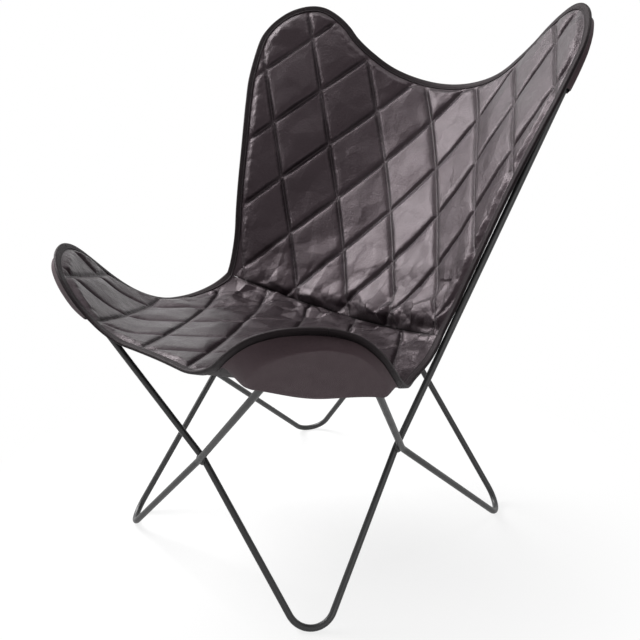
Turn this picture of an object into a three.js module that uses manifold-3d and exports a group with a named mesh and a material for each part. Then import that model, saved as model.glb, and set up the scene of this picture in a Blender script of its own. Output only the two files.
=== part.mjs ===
import * as THREE from 'three';
import { mergeVertices } from 'three/addons/utils/BufferGeometryUtils.js';
import Module from 'manifold-3d';

const wasm = await Module();
wasm.setup();

// A butterfly sling chair in millimetres and degrees: two welded rod loops and a quilted leather sling.
// The sitter faces -Y and the sitter's left is +X. The sizes below are from the frame's own middle, and the
// finished chair is moved so that the origin is on the floor under the middle of the whole.

// Rod frame
const rodDiameter = 11;
const rodSides = 12;
const fitGap = 0.3;
const footBend = 38;
const armBend = 56;
const backBend = 78;
const crossingBend = 40;
const footFlat = 0.5;
const frontFoot = [231, -264];
const rearFoot = [245, 232];
const frontCrossing = [0, -283, 219];
const rearCrossing = [0, 228, 316];
const sideCrossing = [231, -59, 239];
const weldReach = 9.5;
const weldDepth = 4.5;
const kinkRun = 30;
const floorWidth = 2000;

// Leather and cloth, measured down from the sling's upper face
const quiltCrown = 2.4;
const leatherThickness = 1.6;
const liningThickness = 1;
const pocketThickness = 1.5;
const bindingThickness = 1.2;
const bindingWidth = 6;
const bindingPlay = { above: 1.6, below: 2.2 };
const liningGap = 0.3;
const quietMargin = 15;
const edgeStep = 21;
const cellPieces = 3;
const patternHeight = 5;
const patternRipple = 0.5;
const waistClear = 4;

// Back of the sling: a trough that leans back, flatter at the waist
const recline = THREE.MathUtils.degToRad(35.8);
const seamReach = 345;
const hollowRadius = 275;
const hollowOffset = 162;
const wingAngle = THREE.MathUtils.degToRad(33);
const waistRadius = 520;
const waistOffset = 175;
const waistBlend = 430;
const backCell = [60.5, 96.5];
const backCellStart = [0, 407];
const backEdge = [
  [266, 0], [269, 25], [279, 75], [295, 125], [312, 175], [330, 230], [348, 280], [367, 330],
  [386, 383], [397, 455], [393, 490], [380, 520], [361, 545], [333, 565], [304, 572], [272, 566],
  [243, 553], [215, 535], [176, 518], [123, 502], [60, 493], [0, 490],
];
const backTipEdge = [344, 559];

// Seat of the sling: nearly level, with its front corners turned up along two slanting folds
const seatLow = 379;
const seatRise = 47;
const seatLength = 423;
const foldHeading = THREE.MathUtils.degToRad(41.3);
const foldStart = 286;
const foldRadius = 96;
const foldSlope = 1.4;
const seamFade = 40;
const seatCell = [55, 88];
const seatCellStart = [19, -271];
const seatEdge = [
  [267, -38], [284, -99], [310, -152], [340, -211], [358, -257], [362, -299], [350, -331],
  [326, -357], [290, -380], [247, -392], [199, -388], [144, -373], [74, -362], [0, -358],
];
const armTipEdge = [342, -341];

// Where the bow ends sit in the sling, and the pockets that hold them
// A pocket reaches along the edge, and its wall leans in from it, on the outer and the inner side of the tip
const tipInset = 18;
const armDrop = 19.5;
const backDrop = 17;
const armPocket = {
  reach: { outer: 187, inner: 195 },
  wall: { outer: 27, inner: 64 },
  wallEase: 1.4,
  rodExit: { outer: 0.92, inner: 0.66 },
  endDepth: 0.1,
};
const backPocket = {
  reach: { outer: 186, inner: 190 },
  wall: { outer: 20, inner: 54 },
  wallEase: 4,
  rodExit: { outer: 0.93, inner: 0.74 },
  endDepth: 0.85,
};
const pocketEnd = 16;
const rimInset = 5.5;
const wallGap = 7.2;
const tapeReach = 13;
const tapeEndGap = 14;

const rodRadius = rodDiameter / 2;
const foldBend = 1 / (2 * foldRadius);
const stitchLevel = -quiltCrown;
const panelBottom = stitchLevel - leatherThickness;
const liningTop = panelBottom - liningGap;
const liningBottom = liningTop - liningThickness;
const bindingTop = stitchLevel + bindingPlay.above + bindingThickness;
const bindingBottom = liningBottom - bindingPlay.below - bindingThickness;

const mix = THREE.MathUtils.lerp;

function smooth(value) {
  const clamped = THREE.MathUtils.clamp(value, 0, 1);
  return clamped * clamped * (3 - 2 * clamped);
}

// The sling's two surfaces

const leanUp = new THREE.Vector3(0, Math.sin(recline), Math.cos(recline));
const leanOut = new THREE.Vector3(0, -Math.cos(recline), Math.sin(recline));

function backPlace(s, t) {
  const blend = smooth(t / waistBlend);
  const curvature = mix(1 / waistRadius, 1 / hollowRadius, blend);
  const turned = Math.min(Math.abs(s), wingAngle / curvature);
  const angle = turned * curvature;
  const beyond = Math.abs(s) - turned;
  const across = Math.sin(angle) / curvature + beyond * Math.cos(angle);
  const out = mix(waistOffset, hollowOffset, blend)
    + (1 - Math.cos(angle)) / curvature + beyond * Math.sin(angle);
  return new THREE.Vector3(Math.sign(s) * across, 0, 0)
    .addScaledVector(leanOut, out)
    .addScaledVector(leanUp, seamReach + t);
}

function seamAt(x) {
  const out = waistOffset + waistRadius - Math.sqrt(waistRadius ** 2 - x * x);
  return new THREE.Vector3(x, 0, 0).addScaledVector(leanOut, out).addScaledVector(leanUp, seamReach);
}

function foldRun(length) {
  const arcRun = foldSlope / (2 * foldBend);
  const slopeLength = (run) => {
    const steep = 2 * foldBend * run;
    return (run * Math.sqrt(1 + steep * steep) + Math.asinh(steep) / (2 * foldBend)) / 2;
  };
  const arcLength = slopeLength(arcRun);
  if (length >= arcLength) {
    return arcRun + (length - arcLength) / Math.sqrt(1 + foldSlope ** 2);
  }
  let run = length;
  for (let turn = 0; turn < 6; turn += 1) {
    run -= (slopeLength(run) - length) / Math.sqrt(1 + (2 * foldBend * run) ** 2);
  }
  return run;
}

function foldRise(run) {
  const arcRun = foldSlope / (2 * foldBend);
  const bent = Math.min(run, arcRun);
  return foldBend * bent * bent + foldSlope * (run - bent);
}

function seatLevel(y) {
  return seatLow + seatRise * ((seamAt(0).y - y) / seatLength) ** 2;
}

function seatPlace(a, b) {
  const across = Math.cos(foldHeading);
  const along = Math.sin(foldHeading);
  const over = Math.max(across * Math.abs(a) - along * b - foldStart, 0);
  const run = foldRun(over);
  const x = a + Math.sign(a) * across * (run - over);
  const y = b - along * (run - over);
  const seam = seamAt(x);
  const lift = (seam.z - seatLevel(seam.y)) * Math.exp((y - seam.y) / seamFade);
  return new THREE.Vector3(x, y, seatLevel(y) + foldRise(run) + lift);
}

function normalAt(place, s, t) {
  const step = 0.5;
  const along = place(s + step, t).sub(place(s - step, t));
  const up = place(s, t + step).sub(place(s, t - step));
  return along.cross(up).normalize();
}

function onSling(place, s, t, height) {
  return place(s, t).addScaledVector(normalAt(place, s, t), height);
}

function edgeCurve(half) {
  const left = half.map(([s, t]) => new THREE.Vector2(s, t));
  const right = half.slice(0, -1).reverse().map(([s, t]) => new THREE.Vector2(-s, t));
  const curve = new THREE.SplineCurve([...left, ...right]);
  curve.arcLengthDivisions = 800;
  return curve;
}

function nearestOn(curve, [s, t]) {
  const target = new THREE.Vector2(s, t);
  let best = 0;
  for (let step = 0; step <= 600; step += 1) {
    const here = step / 600;
    if (curve.getPointAt(here).distanceTo(target) < curve.getPointAt(best).distanceTo(target)) {
      best = here;
    }
  }
  return best;
}

const back = { place: backPlace, curve: edgeCurve(backEdge), side: 1 };
const waistEnd = backPlace(backEdge[0][0], 0);
const seatCorner = [waistEnd.x, waistEnd.y - fitGap];
const seat = { place: seatPlace, curve: edgeCurve([seatCorner, ...seatEdge]), side: -1 };
back.tip = nearestOn(back.curve, backTipEdge);
seat.tip = nearestOn(seat.curve, armTipEdge);

function outwardAt(panel, u) {
  const heading = panel.curve.getTangentAt(u);
  return new THREE.Vector2(heading.y, -heading.x).multiplyScalar(panel.side);
}

function edgePoint(panel, u, out) {
  return panel.curve.getPointAt(u).addScaledVector(outwardAt(panel, u), out);
}

// Solids

function orientOutward(positions, triangles) {
  let volume = 0;
  for (const [a, b, c] of triangles) {
    volume += positions[a].dot(positions[b].clone().cross(positions[c]));
  }
  return volume < 0 ? triangles.map(([a, b, c]) => [a, c, b]) : triangles;
}

function solidFrom(positions, triangles) {
  const geometry = new THREE.BufferGeometry();
  const flat = positions.flatMap((point) => [point.x, point.y, point.z]);
  geometry.setAttribute('position', new THREE.Float32BufferAttribute(flat, 3));
  geometry.setIndex(orientOutward(positions, triangles).flat());
  geometry.computeVertexNormals();
  return geometry;
}

function sweptSolid(rings, section) {
  const count = section.length;
  const positions = rings.flat();
  const triangles = [];
  for (let ring = 0; ring + 1 < rings.length; ring += 1) {
    for (let corner = 0; corner < count; corner += 1) {
      const here = ring * count + corner;
      const beside = ring * count + (corner + 1) % count;
      triangles.push([here, beside, beside + count], [here, beside + count, here + count]);
    }
  }
  const last = (rings.length - 1) * count;
  const turned = THREE.ShapeUtils.isClockWise(section);
  for (const [a, second, third] of THREE.ShapeUtils.triangulateShape(section, [])) {
    const [b, c] = turned ? [third, second] : [second, third];
    triangles.push([a, c, b], [last + a, last + b, last + c]);
  }
  return { positions, triangles };
}

function toManifold({ positions, triangles }) {
  const vertProperties = new Float32Array(positions.flatMap((point) => [point.x, point.y, point.z]));
  const triVerts = new Uint32Array(orientOutward(positions, triangles).flat());
  return new wasm.Manifold(new wasm.Mesh({ numProp: 3, vertProperties, triVerts }));
}

// The corners and triangles of a closed three.js geometry, with shared corners merged
function bodyOf(geometry) {
  geometry.deleteAttribute('normal');
  geometry.deleteAttribute('uv');
  const joined = mergeVertices(geometry);
  const place = joined.getAttribute('position');
  const corners = joined.getIndex().array;
  const positions = [];
  for (let at = 0; at < place.count; at += 1) {
    positions.push(new THREE.Vector3().fromBufferAttribute(place, at));
  }
  const triangles = [];
  for (let at = 0; at < corners.length; at += 3) {
    triangles.push([...corners.slice(at, at + 3)]);
  }
  return { positions, triangles };
}

function fromManifold(body) {
  const mesh = body.getMesh();
  const positions = [];
  for (let at = 0; at < mesh.vertProperties.length; at += mesh.numProp) {
    positions.push(new THREE.Vector3(...mesh.vertProperties.slice(at, at + 3)));
  }
  const triangles = [];
  for (let at = 0; at < mesh.triVerts.length; at += 3) {
    triangles.push([...mesh.triVerts.slice(at, at + 3)]);
  }
  return { positions, triangles };
}

// Rod loops: rounded corners in turn, cut into bows in the middle of each crossing

function roundedCorner(before, corner, after, bend, pieces) {
  const first = before.clone().sub(corner).normalize();
  const second = after.clone().sub(corner).normalize();
  const half = first.angleTo(second) / 2;
  const middle = first.clone().add(second).normalize();
  const centre = corner.clone().addScaledVector(middle, bend / Math.sin(half));
  const axis = second.clone().cross(first).normalize();
  const start = corner.clone().addScaledVector(first, bend / Math.tan(half)).sub(centre);
  const turn = Math.PI - 2 * half;
  const stations = [];
  for (let piece = 0; piece <= pieces; piece += 1) {
    const arm = start.clone().applyAxisAngle(axis, turn * piece / pieces);
    const heading = axis.clone().cross(arm).normalize();
    stations.push({ point: centre.clone().add(arm), heading });
  }
  return stations;
}

function cornerForTip(tip, before, after, bend) {
  const corner = tip.clone();
  for (let turn = 0; turn < 20; turn += 1) {
    const first = before.clone().sub(corner).normalize();
    const second = after.clone().sub(corner).normalize();
    const half = first.angleTo(second) / 2;
    const middle = first.add(second).normalize();
    corner.copy(tip).addScaledVector(middle, -bend * (1 / Math.sin(half) - 1));
  }
  return corner;
}

class StationPath extends THREE.Curve {
  constructor(stations) {
    super();
    this.stations = stations;
  }

  at(u) {
    return this.stations[Math.round(u * (this.stations.length - 1))];
  }

  getPoint(u, target = new THREE.Vector3()) {
    return target.copy(this.at(u).point);
  }

  getPointAt(u, target = new THREE.Vector3()) {
    return target.copy(this.at(u).point);
  }

  getTangentAt(u, target = new THREE.Vector3()) {
    return target.copy(this.at(u).heading);
  }
}

function circle(radius) {
  const points = [];
  for (let corner = 0; corner < rodSides; corner += 1) {
    const angle = 2 * Math.PI * (corner + 0.5) / rodSides;
    points.push(new THREE.Vector2(radius * Math.cos(angle), radius * Math.sin(angle)));
  }
  return points;
}

function rodAlong(stations, radius) {
  const path = new StationPath(stations);
  const frames = path.computeFrenetFrames(stations.length - 1, false);
  const section = circle(radius);
  const rings = stations.map(({ point }, index) => section.map((corner) => point.clone()
    .addScaledVector(frames.normals[index], corner.x)
    .addScaledVector(frames.binormals[index], corner.y)));
  return sweptSolid(rings, section);
}

function mirrored([x, y, z]) {
  return [-x, y, z];
}

const vector = (values) => new THREE.Vector3(...values);
const tipOn = (panel, drop) => {
  const point = edgePoint(panel, panel.tip, -tipInset);
  return onSling(panel.place, point.x, point.y, -drop).toArray();
};
const armTip = tipOn(seat, armDrop);
const backTip = tipOn(back, backDrop);
const footLevel = rodRadius - footFlat;
const leftFrontFoot = [...frontFoot, footLevel];
const leftRearFoot = [...rearFoot, footLevel];

const loopPlan = [
  ['right_arm_bow', mirrored(armTip), armBend, 'front', frontCrossing],
  ['front_left_leg_bow', leftFrontFoot, footBend, 'left', sideCrossing],
  ['left_back_bow', backTip, backBend, 'rear', rearCrossing],
  ['rear_right_leg_bow', mirrored(leftRearFoot), footBend, 'right', mirrored(sideCrossing)],
];
const otherSide = { left: 'right', right: 'left' };
const mirrorName = (name) => name.replace(/left|right/, (side) => otherSide[side]);
const mirrorPlan = loopPlan.map(([name, tip, bend, crossing, place]) => [
  mirrorName(name), mirrored(tip), bend, mirrorName(crossing), mirrored(place),
]);

function neighbours(plan, index) {
  const count = plan.length;
  return [plan[index][1], plan[(index + 1) % count][1]].map(vector);
}

function headingThrough(plan, index) {
  const [before, after] = neighbours(plan, index);
  const here = vector(plan[index][4]);
  const inward = here.clone().sub(before).normalize();
  return after.sub(here).normalize().add(inward).normalize();
}

// At each crossing the two loops lie side by side along their common normal
function crossingPoints(plan, other, outer) {
  return plan.map((entry, index) => {
    const partner = other.findIndex((candidate) => candidate[3] === entry[3]);
    const normal = headingThrough(plan, index).cross(headingThrough(other, partner)).normalize();
    const centre = vector(entry[4]);
    const away = centre.clone().setZ(0).normalize();
    const sign = Math.sign(normal.dot(away)) * (outer.includes(entry[3]) ? 1 : -1);
    return centre.addScaledVector(normal, sign * (rodDiameter + fitGap) / 2);
  });
}

function loopOf(plan, crossings) {
  const count = plan.length;
  const corners = plan.map(([, tip, bend], index) => {
    const before = crossings[(index + count - 1) % count];
    return cornerForTip(vector(tip), before, crossings[index], bend);
  });
  const kinks = crossings.map((place, index) => roundedCorner(
    corners[index], place, corners[(index + 1) % count], crossingBend, 4,
  ));
  const bows = plan.map(([name, , bend], index) => {
    const before = (index + count - 1) % count;
    const tipArc = roundedCorner(crossings[before], corners[index], crossings[index], bend, 12);
    const stations = [...kinks[before].slice(2), ...tipArc, ...kinks[index].slice(0, 3)];
    return { name, stations: trimmedEnds(stations), tip: tipArc[6].point };
  });
  return { plan, crossings, kinks, bows };
}

function trimmedEnds(stations) {
  const shift = (station, sign) => ({
    point: station.point.clone().addScaledVector(station.heading, sign * fitGap / 2),
    heading: station.heading,
  });
  const last = stations.length - 1;
  return [shift(stations[0], 1), ...stations.slice(1, last), shift(stations[last], -1)];
}

const innerLoop = loopOf(loopPlan, crossingPoints(loopPlan, mirrorPlan, ['right', 'rear']));
const outerLoop = loopOf(mirrorPlan, crossingPoints(mirrorPlan, loopPlan, ['front', 'left']));

function bowSolid({ name, stations }) {
  const rod = rodAlong(stations, rodRadius);
  if (!name.includes('leg')) {
    return rod;
  }
  const floor = new THREE.BoxGeometry(floorWidth, floorWidth, rodDiameter).translate(0, 0, -rodRadius);
  return fromManifold(toManifold(rod).subtract(toManifold(bodyOf(floor))));
}

function longKink(kink) {
  const first = kink[0];
  const last = kink[kink.length - 1];
  const moved = ({ point, heading }, run) => ({ point: point.clone().addScaledVector(heading, run), heading });
  return [moved(first, -kinkRun), ...kink, moved(last, kinkRun)];
}

function weldAt(name) {
  const sides = [innerLoop, outerLoop].map((loop) => {
    const index = loop.plan.findIndex((entry) => entry[3] === name);
    return loop.kinks[index];
  });
  const middles = sides.map((kink) => kink[2].point);
  const centre = middles[0].clone().add(middles[1]).multiplyScalar(0.5);
  const normal = middles[1].clone().sub(middles[0]).normalize();
  const turn = new THREE.Quaternion().setFromUnitVectors(new THREE.Vector3(0, 0, 1), normal);
  const ball = new THREE.Matrix4().compose(centre, turn, new THREE.Vector3(weldReach, weldReach, weldDepth));
  const drop = new THREE.SphereGeometry(1, 12, 8).rotateX(Math.PI / 2);
  let bead = toManifold(bodyOf(drop.applyMatrix4(ball)));
  for (const kink of sides) {
    bead = bead.subtract(toManifold(rodAlong(longKink(kink), rodRadius + fitGap)));
  }
  return fromManifold(bead);
}

// Quilted panels and their linings: a flat pattern in diamond cells, bent onto the sling

function edgeStations(panel, from, to, gather) {
  const count = Math.max(2, Math.round((to - from) * panel.curve.getLength() / edgeStep));
  const stations = [];
  for (let step = 0; step <= count; step += 1) {
    stations.push(mix(from, to, (step / count) ** gather));
  }
  return stations;
}

// Along a side the stations gather towards the waist, where the sling turns most
function sideStations(panel) {
  return edgeStations(panel, 0, panel.tip, 1.4);
}

function acrossStations(panel) {
  return edgeStations(panel, panel.tip, 1 - panel.tip, 1);
}

function outlineOf(panel, seam) {
  const side = sideStations(panel);
  const stations = [
    ...side.slice(0, -1),
    ...acrossStations(panel),
    ...side.slice(0, -1).map((u) => 1 - u).reverse(),
  ];
  return [...stations.map((u) => panel.curve.getPointAt(u)), ...seam];
}

function seamPoints(panel) {
  const points = [];
  for (let step = 1; step < 24; step += 1) {
    const s = mix(-1, 1, step / 24) * panel.curve.getPointAt(0).x;
    points.push(new THREE.Vector2(s, panel === back ? 0 : seamAt(s).y - fitGap));
  }
  return points;
}

function distanceTo(outline, s, t) {
  let nearest = Infinity;
  for (let index = 0; index < outline.length; index += 1) {
    const from = outline[index];
    const to = outline[(index + 1) % outline.length];
    const span = to.clone().sub(from);
    const reach = ((s - from.x) * span.x + (t - from.y) * span.y) / span.lengthSq();
    const foot = from.clone().addScaledVector(span, THREE.MathUtils.clamp(reach, 0, 1));
    nearest = Math.min(nearest, Math.hypot(s - foot.x, t - foot.y));
  }
  return nearest;
}

function puffAt(cell, cellStart, s, t) {
  const a = (s - cellStart[0]) / cell[0];
  const b = (t - cellStart[1]) / cell[1];
  const across = Math.sin(Math.PI * (a + b) / 2);
  const along = Math.sin(Math.PI * (b - a) / 2);
  return Math.abs(across * along) ** 0.6;
}

// The flat cutting pattern of a panel, in triangles that follow the diamond cells
function cutPattern(panel, cell, cellStart) {
  const outline = outlineOf(panel, seamPoints(panel));
  const cells = outline.map((point) => {
    const a = (point.x - cellStart[0]) / cell[0];
    const b = (point.y - cellStart[1]) / cell[1];
    return [(a + b) / 2, (b - a) / 2];
  });
  const low = [0, 1].map((axis) => Math.floor(Math.min(...cells.map((place) => place[axis]))) - 1);
  const high = [0, 1].map((axis) => Math.ceil(Math.max(...cells.map((place) => place[axis]))) + 1);
  const rows = (high[0] - low[0]) * cellPieces + 1;
  const columns = (high[1] - low[1]) * cellPieces + 1;
  const upper = [];
  for (let row = 0; row < rows; row += 1) {
    for (let column = 0; column < columns; column += 1) {
      const i = low[0] + row / cellPieces;
      const j = low[1] + column / cellPieces;
      const ripple = ((row + column) % 2) * patternRipple;
      const x = cellStart[0] + cell[0] * (i - j);
      const y = cellStart[1] + cell[1] * (i + j);
      upper.push(new THREE.Vector3(x, y, patternHeight + ripple));
    }
  }
  const lower = upper.map((point) => point.clone().setZ(-patternHeight));
  const slab = toManifold(shellBetween(upper, lower, rows, columns));
  const depth = 4 * patternHeight;
  const shape = new THREE.ExtrudeGeometry(new THREE.Shape(outline), { depth, bevelEnabled: false });
  const cutter = toManifold(bodyOf(shape.translate(0, 0, -depth / 2)));
  const cut = fromManifold(slab.intersect(cutter));
  const faces = cut.triangles.filter((corners) => corners.every((corner) => cut.positions[corner].z > 0));
  const used = [...new Set(faces.flat())];
  const renamed = new Map(used.map((corner, index) => [corner, index]));
  return {
    panel,
    outline,
    points: used.map((corner) => cut.positions[corner]),
    faces: faces.map((corners) => corners.map((corner) => renamed.get(corner))),
  };
}

// A sheet of the pattern's shape between two heights on the sling
function bentSheet({ panel, points, faces }, topOf, bottomOf) {
  const count = points.length;
  const upper = points.map(({ x, y }) => onSling(panel.place, x, y, topOf(x, y)));
  const lower = points.map(({ x, y }) => onSling(panel.place, x, y, bottomOf(x, y)));
  const triangles = [];
  const open = new Map();
  for (const [a, b, c] of faces) {
    triangles.push([a, b, c], [count + a, count + c, count + b]);
    for (const [from, to] of [[a, b], [b, c], [c, a]]) {
      if (!open.delete(`${to} ${from}`)) {
        open.set(`${from} ${to}`, [from, to]);
      }
    }
  }
  for (const [from, to] of open.values()) {
    triangles.push([from, count + from, count + to], [from, count + to, to]);
  }
  return { positions: [...upper, ...lower], triangles };
}

function quiltedPanel(pattern, cell, cellStart) {
  const topOf = (s, t) => {
    const margin = smooth(distanceTo(pattern.outline, s, t) / quietMargin - 0.5);
    return stitchLevel + quiltCrown * puffAt(cell, cellStart, s, t) * margin;
  };
  return bentSheet(pattern, topOf, () => panelBottom);
}

function lining(pattern) {
  return bentSheet(pattern, () => liningTop, () => liningBottom);
}

function shellBetween(upper, lower, rows, columns) {
  const positions = [...upper, ...lower];
  const below = upper.length;
  const triangles = [];
  const at = (row, column) => row * columns + column;
  for (let row = 0; row + 1 < rows; row += 1) {
    for (let column = 0; column + 1 < columns; column += 1) {
      const corners = [at(row, column), at(row, column + 1), at(row + 1, column + 1), at(row + 1, column)];
      const [a, b, c, d] = corners;
      triangles.push([a, b, c], [a, c, d]);
      triangles.push([below + a, below + c, below + b], [below + a, below + d, below + c]);
    }
  }
  const rim = [];
  for (let column = 0; column + 1 < columns; column += 1) rim.push(at(0, column));
  for (let row = 0; row + 1 < rows; row += 1) rim.push(at(row, columns - 1));
  for (let column = columns - 1; column > 0; column -= 1) rim.push(at(rows - 1, column));
  for (let row = rows - 1; row > 0; row -= 1) rim.push(at(row, 0));
  rim.forEach((here, index) => {
    const next = rim[(index + 1) % rim.length];
    triangles.push([here, below + here, below + next], [here, below + next, next]);
  });
  return { positions, triangles };
}

// Edge binding: a folded strip whose slot takes the panel's and the lining's edge

const bindingSection = [
  [-bindingWidth, bindingTop], [bindingThickness + fitGap, bindingTop],
  [bindingThickness + fitGap, bindingBottom], [-bindingWidth, bindingBottom],
  [-bindingWidth, bindingBottom + bindingThickness], [fitGap, bindingBottom + bindingThickness],
  [fitGap, bindingTop - bindingThickness], [-bindingWidth, bindingTop - bindingThickness],
].map(([out, height]) => new THREE.Vector2(out, height));

// A place on the panel as it is cut in flat faces, or on the smooth sling beyond its edge
function onFaces({ panel, points, faces }, s, t, height) {
  for (const corners of faces) {
    const [a, b, c] = corners.map((corner) => points[corner]);
    const area = (b.x - a.x) * (c.y - a.y) - (c.x - a.x) * (b.y - a.y);
    const second = ((s - a.x) * (c.y - a.y) - (c.x - a.x) * (t - a.y)) / area;
    const third = ((b.x - a.x) * (t - a.y) - (s - a.x) * (b.y - a.y)) / area;
    if (second >= 0 && third >= 0 && second + third <= 1) {
      return onSling(panel.place, a.x, a.y, height).multiplyScalar(1 - second - third)
        .addScaledVector(onSling(panel.place, b.x, b.y, height), second)
        .addScaledVector(onSling(panel.place, c.x, c.y, height), third);
    }
  }
  return onSling(panel.place, s, t, height);
}

function bindingRings(panel, stations) {
  return stations.map((u) => bindingSection.map(({ x, y }) => {
    const point = edgePoint(panel, u, x);
    return onFaces(panel.pattern, point.x, point.y, y);
  }));
}

function trimmedSide(panel, flip) {
  const length = panel.curve.getLength();
  const inner = sideStations(panel).slice(1, -1);
  const stations = [waistClear / length, ...inner, panel.tip - fitGap / 2 / length];
  return stations.map((u) => (flip ? 1 - u : u));
}

function sideBinding(flip) {
  const rings = [
    ...bindingRings(back, trimmedSide(back, flip).reverse()),
    ...bindingRings(seat, trimmedSide(seat, flip)),
  ];
  return sweptSolid(rings, bindingSection);
}

function acrossBinding(panel) {
  const trim = fitGap / 2 / panel.curve.getLength();
  const inner = acrossStations(panel).slice(1, -1);
  const stations = [panel.tip + trim, ...inner, 1 - panel.tip - trim];
  return sweptSolid(bindingRings(panel, stations), bindingSection);
}

// Waist tape: a strip that bends round the seam under the linings

function waistTape() {
  const half = back.curve.getPointAt(0).x - bindingWidth - tapeEndGap;
  const inner = liningBottom - 2 * fitGap;
  const outer = inner - liningThickness;
  const rings = [];
  for (let step = 0; step <= 24; step += 1) {
    const s = mix(-half, half, step / 24);
    const x = backPlace(s, 0).x;
    const y = seamAt(x).y;
    const legs = (height) => [
      onSling(backPlace, s, tapeReach, height), onSling(backPlace, s, 0, height),
      onSling(seatPlace, x, y - fitGap, height), onSling(seatPlace, x, y - tapeReach, height),
    ];
    rings.push([...legs(inner), ...legs(outer).reverse()]);
  }
  const section = [[0, 2], [1, 1], [2, 1], [3, 2], [3, 1], [2, 0], [1, 0], [0, 1]];
  return sweptSolid(rings, section.map(([x, y]) => new THREE.Vector2(x, y)));
}

// Corner pockets: sewn under the binding round the tip, hanging behind the bow down to an open mouth

function bowPlane(loop, name) {
  const index = loop.bows.findIndex((bow) => bow.name === name);
  const before = loop.crossings[(index + 3) % 4];
  const { tip } = loop.bows[index];
  const normal = before.clone().sub(tip).cross(loop.crossings[index].clone().sub(tip)).normalize();
  return { tip, normal };
}

function pocket(panel, flip, { reach, wall, wallEase, rodExit, endDepth }, plane) {
  const rim = bindingBottom - fitGap;
  const behindRod = rodRadius + 2 * fitGap;
  const length = panel.curve.getLength();
  const count = 26;
  const seatAt = (step) => {
    const u = panel.tip + mix(-reach.outer, reach.inner, step / count) / length;
    return flip ? 1 - u : u;
  };
  const mouthEnds = [0, count].map((step) => edgePoint(panel, seatAt(step), -pocketEnd));
  const upper = [];
  const lower = [];
  for (let step = 0; step <= count; step += 1) {
    const edge = panel.curve.getPointAt(seatAt(step));
    const mouth = mouthEnds[0].clone().lerp(mouthEnds[1], step / count);
    const span = mouth.distanceTo(edge);
    const side = mix(-reach.outer, reach.inner, step / count) < 0 ? 'outer' : 'inner';
    const off = Math.abs(mix(-reach.outer, reach.inner, step / count)) / reach[side];
    const foot = mix(tipInset - wallGap, wall[side], off ** wallEase);
    const depth = mix(endDepth, 1, Math.min((1 - off) / (1 - rodExit[side]), 1));
    const held = Math.min(foot, mix(rimInset, span, 0.8));
    const steps = [rimInset, mix(rimInset, held, 0.5), held, mix(held, span, 0.5), span];
    steps.forEach((distance) => {
      const point = edge.clone().lerp(mouth, distance / span);
      const normal = normalAt(panel.place, point.x, point.y);
      const surface = panel.place(point.x, point.y);
      const facing = normal.dot(plane.normal);
      const toRod = surface.clone().sub(plane.tip).dot(plane.normal) / facing;
      const deep = Math.max(toRod + behindRod / Math.abs(facing), -rim);
      const sunk = Math.min((distance - rimInset) / (foot - rimInset), 1) ** 0.8;
      const height = mix(rim, -deep, depth * sunk);
      upper.push(surface.clone().addScaledVector(normal, height));
      lower.push(surface.clone().addScaledVector(normal, height - pocketThickness));
    });
  }
  return shellBetween(upper, lower, count + 1, 5);
}

// Assembly

const chair = new THREE.Group();
chair.name = 'butterfly_sling_chair';

function add(name, { positions, triangles }, color, roughness, metalness) {
  const material = new THREE.MeshStandardMaterial({ color, roughness, metalness });
  const mesh = new THREE.Mesh(solidFrom(positions, triangles), material);
  mesh.name = name;
  chair.add(mesh);
}

for (const loop of [innerLoop, outerLoop]) {
  for (const bow of loop.bows) {
    add(bow.name, bowSolid(bow), 0x1c1c1d, 0.45, 0.6);
  }
}
for (const name of ['front', 'rear', 'left', 'right']) {
  add(`${name}_crossing_weld`, weldAt(name), 0x1c1c1d, 0.55, 0.6);
}
back.pattern = cutPattern(back, backCell, backCellStart);
seat.pattern = cutPattern(seat, seatCell, seatCellStart);
add('quilted_back_panel', quiltedPanel(back.pattern, backCell, backCellStart), 0x4a4347, 0.5, 0);
add('quilted_seat_panel', quiltedPanel(seat.pattern, seatCell, seatCellStart), 0x4a4347, 0.5, 0);
add('back_lining', lining(back.pattern), 0x2e2a2b, 0.9, 0);
add('seat_lining', lining(seat.pattern), 0x2e2a2b, 0.9, 0);
add('waist_seam_tape', waistTape(), 0x2e2a2b, 0.9, 0);
add('top_edge_binding', acrossBinding(back), 0x262325, 0.5, 0);
add('front_edge_binding', acrossBinding(seat), 0x262325, 0.5, 0);
add('left_edge_binding', sideBinding(false), 0x262325, 0.5, 0);
add('right_edge_binding', sideBinding(true), 0x262325, 0.5, 0);
const pocketColor = 0x463c3f;
const pockets = [
  ['left_arm_pocket', seat, false, armPocket, bowPlane(outerLoop, 'left_arm_bow')],
  ['right_arm_pocket', seat, true, armPocket, bowPlane(innerLoop, 'right_arm_bow')],
  ['left_back_pocket', back, false, backPocket, bowPlane(innerLoop, 'left_back_bow')],
  ['right_back_pocket', back, true, backPocket, bowPlane(outerLoop, 'right_back_bow')],
];
for (const [name, panel, flip, sizes, plane] of pockets) {
  add(name, pocket(panel, flip, sizes, plane), pocketColor, 0.65, 0);
}

const extent = new THREE.Box3().setFromObject(chair);
const middle = extent.getCenter(new THREE.Vector3());
for (const mesh of chair.children) {
  mesh.geometry.translate(-middle.x, -middle.y, 0);
}

export default chair;
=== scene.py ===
"""A butterfly sling chair in metres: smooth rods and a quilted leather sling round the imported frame."""

import logging
import math
from collections.abc import Callable, Sequence
from dataclasses import dataclass, field
from enum import Enum

import bmesh
import bpy
import numpy as np
from mathutils import Matrix, Vector


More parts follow.
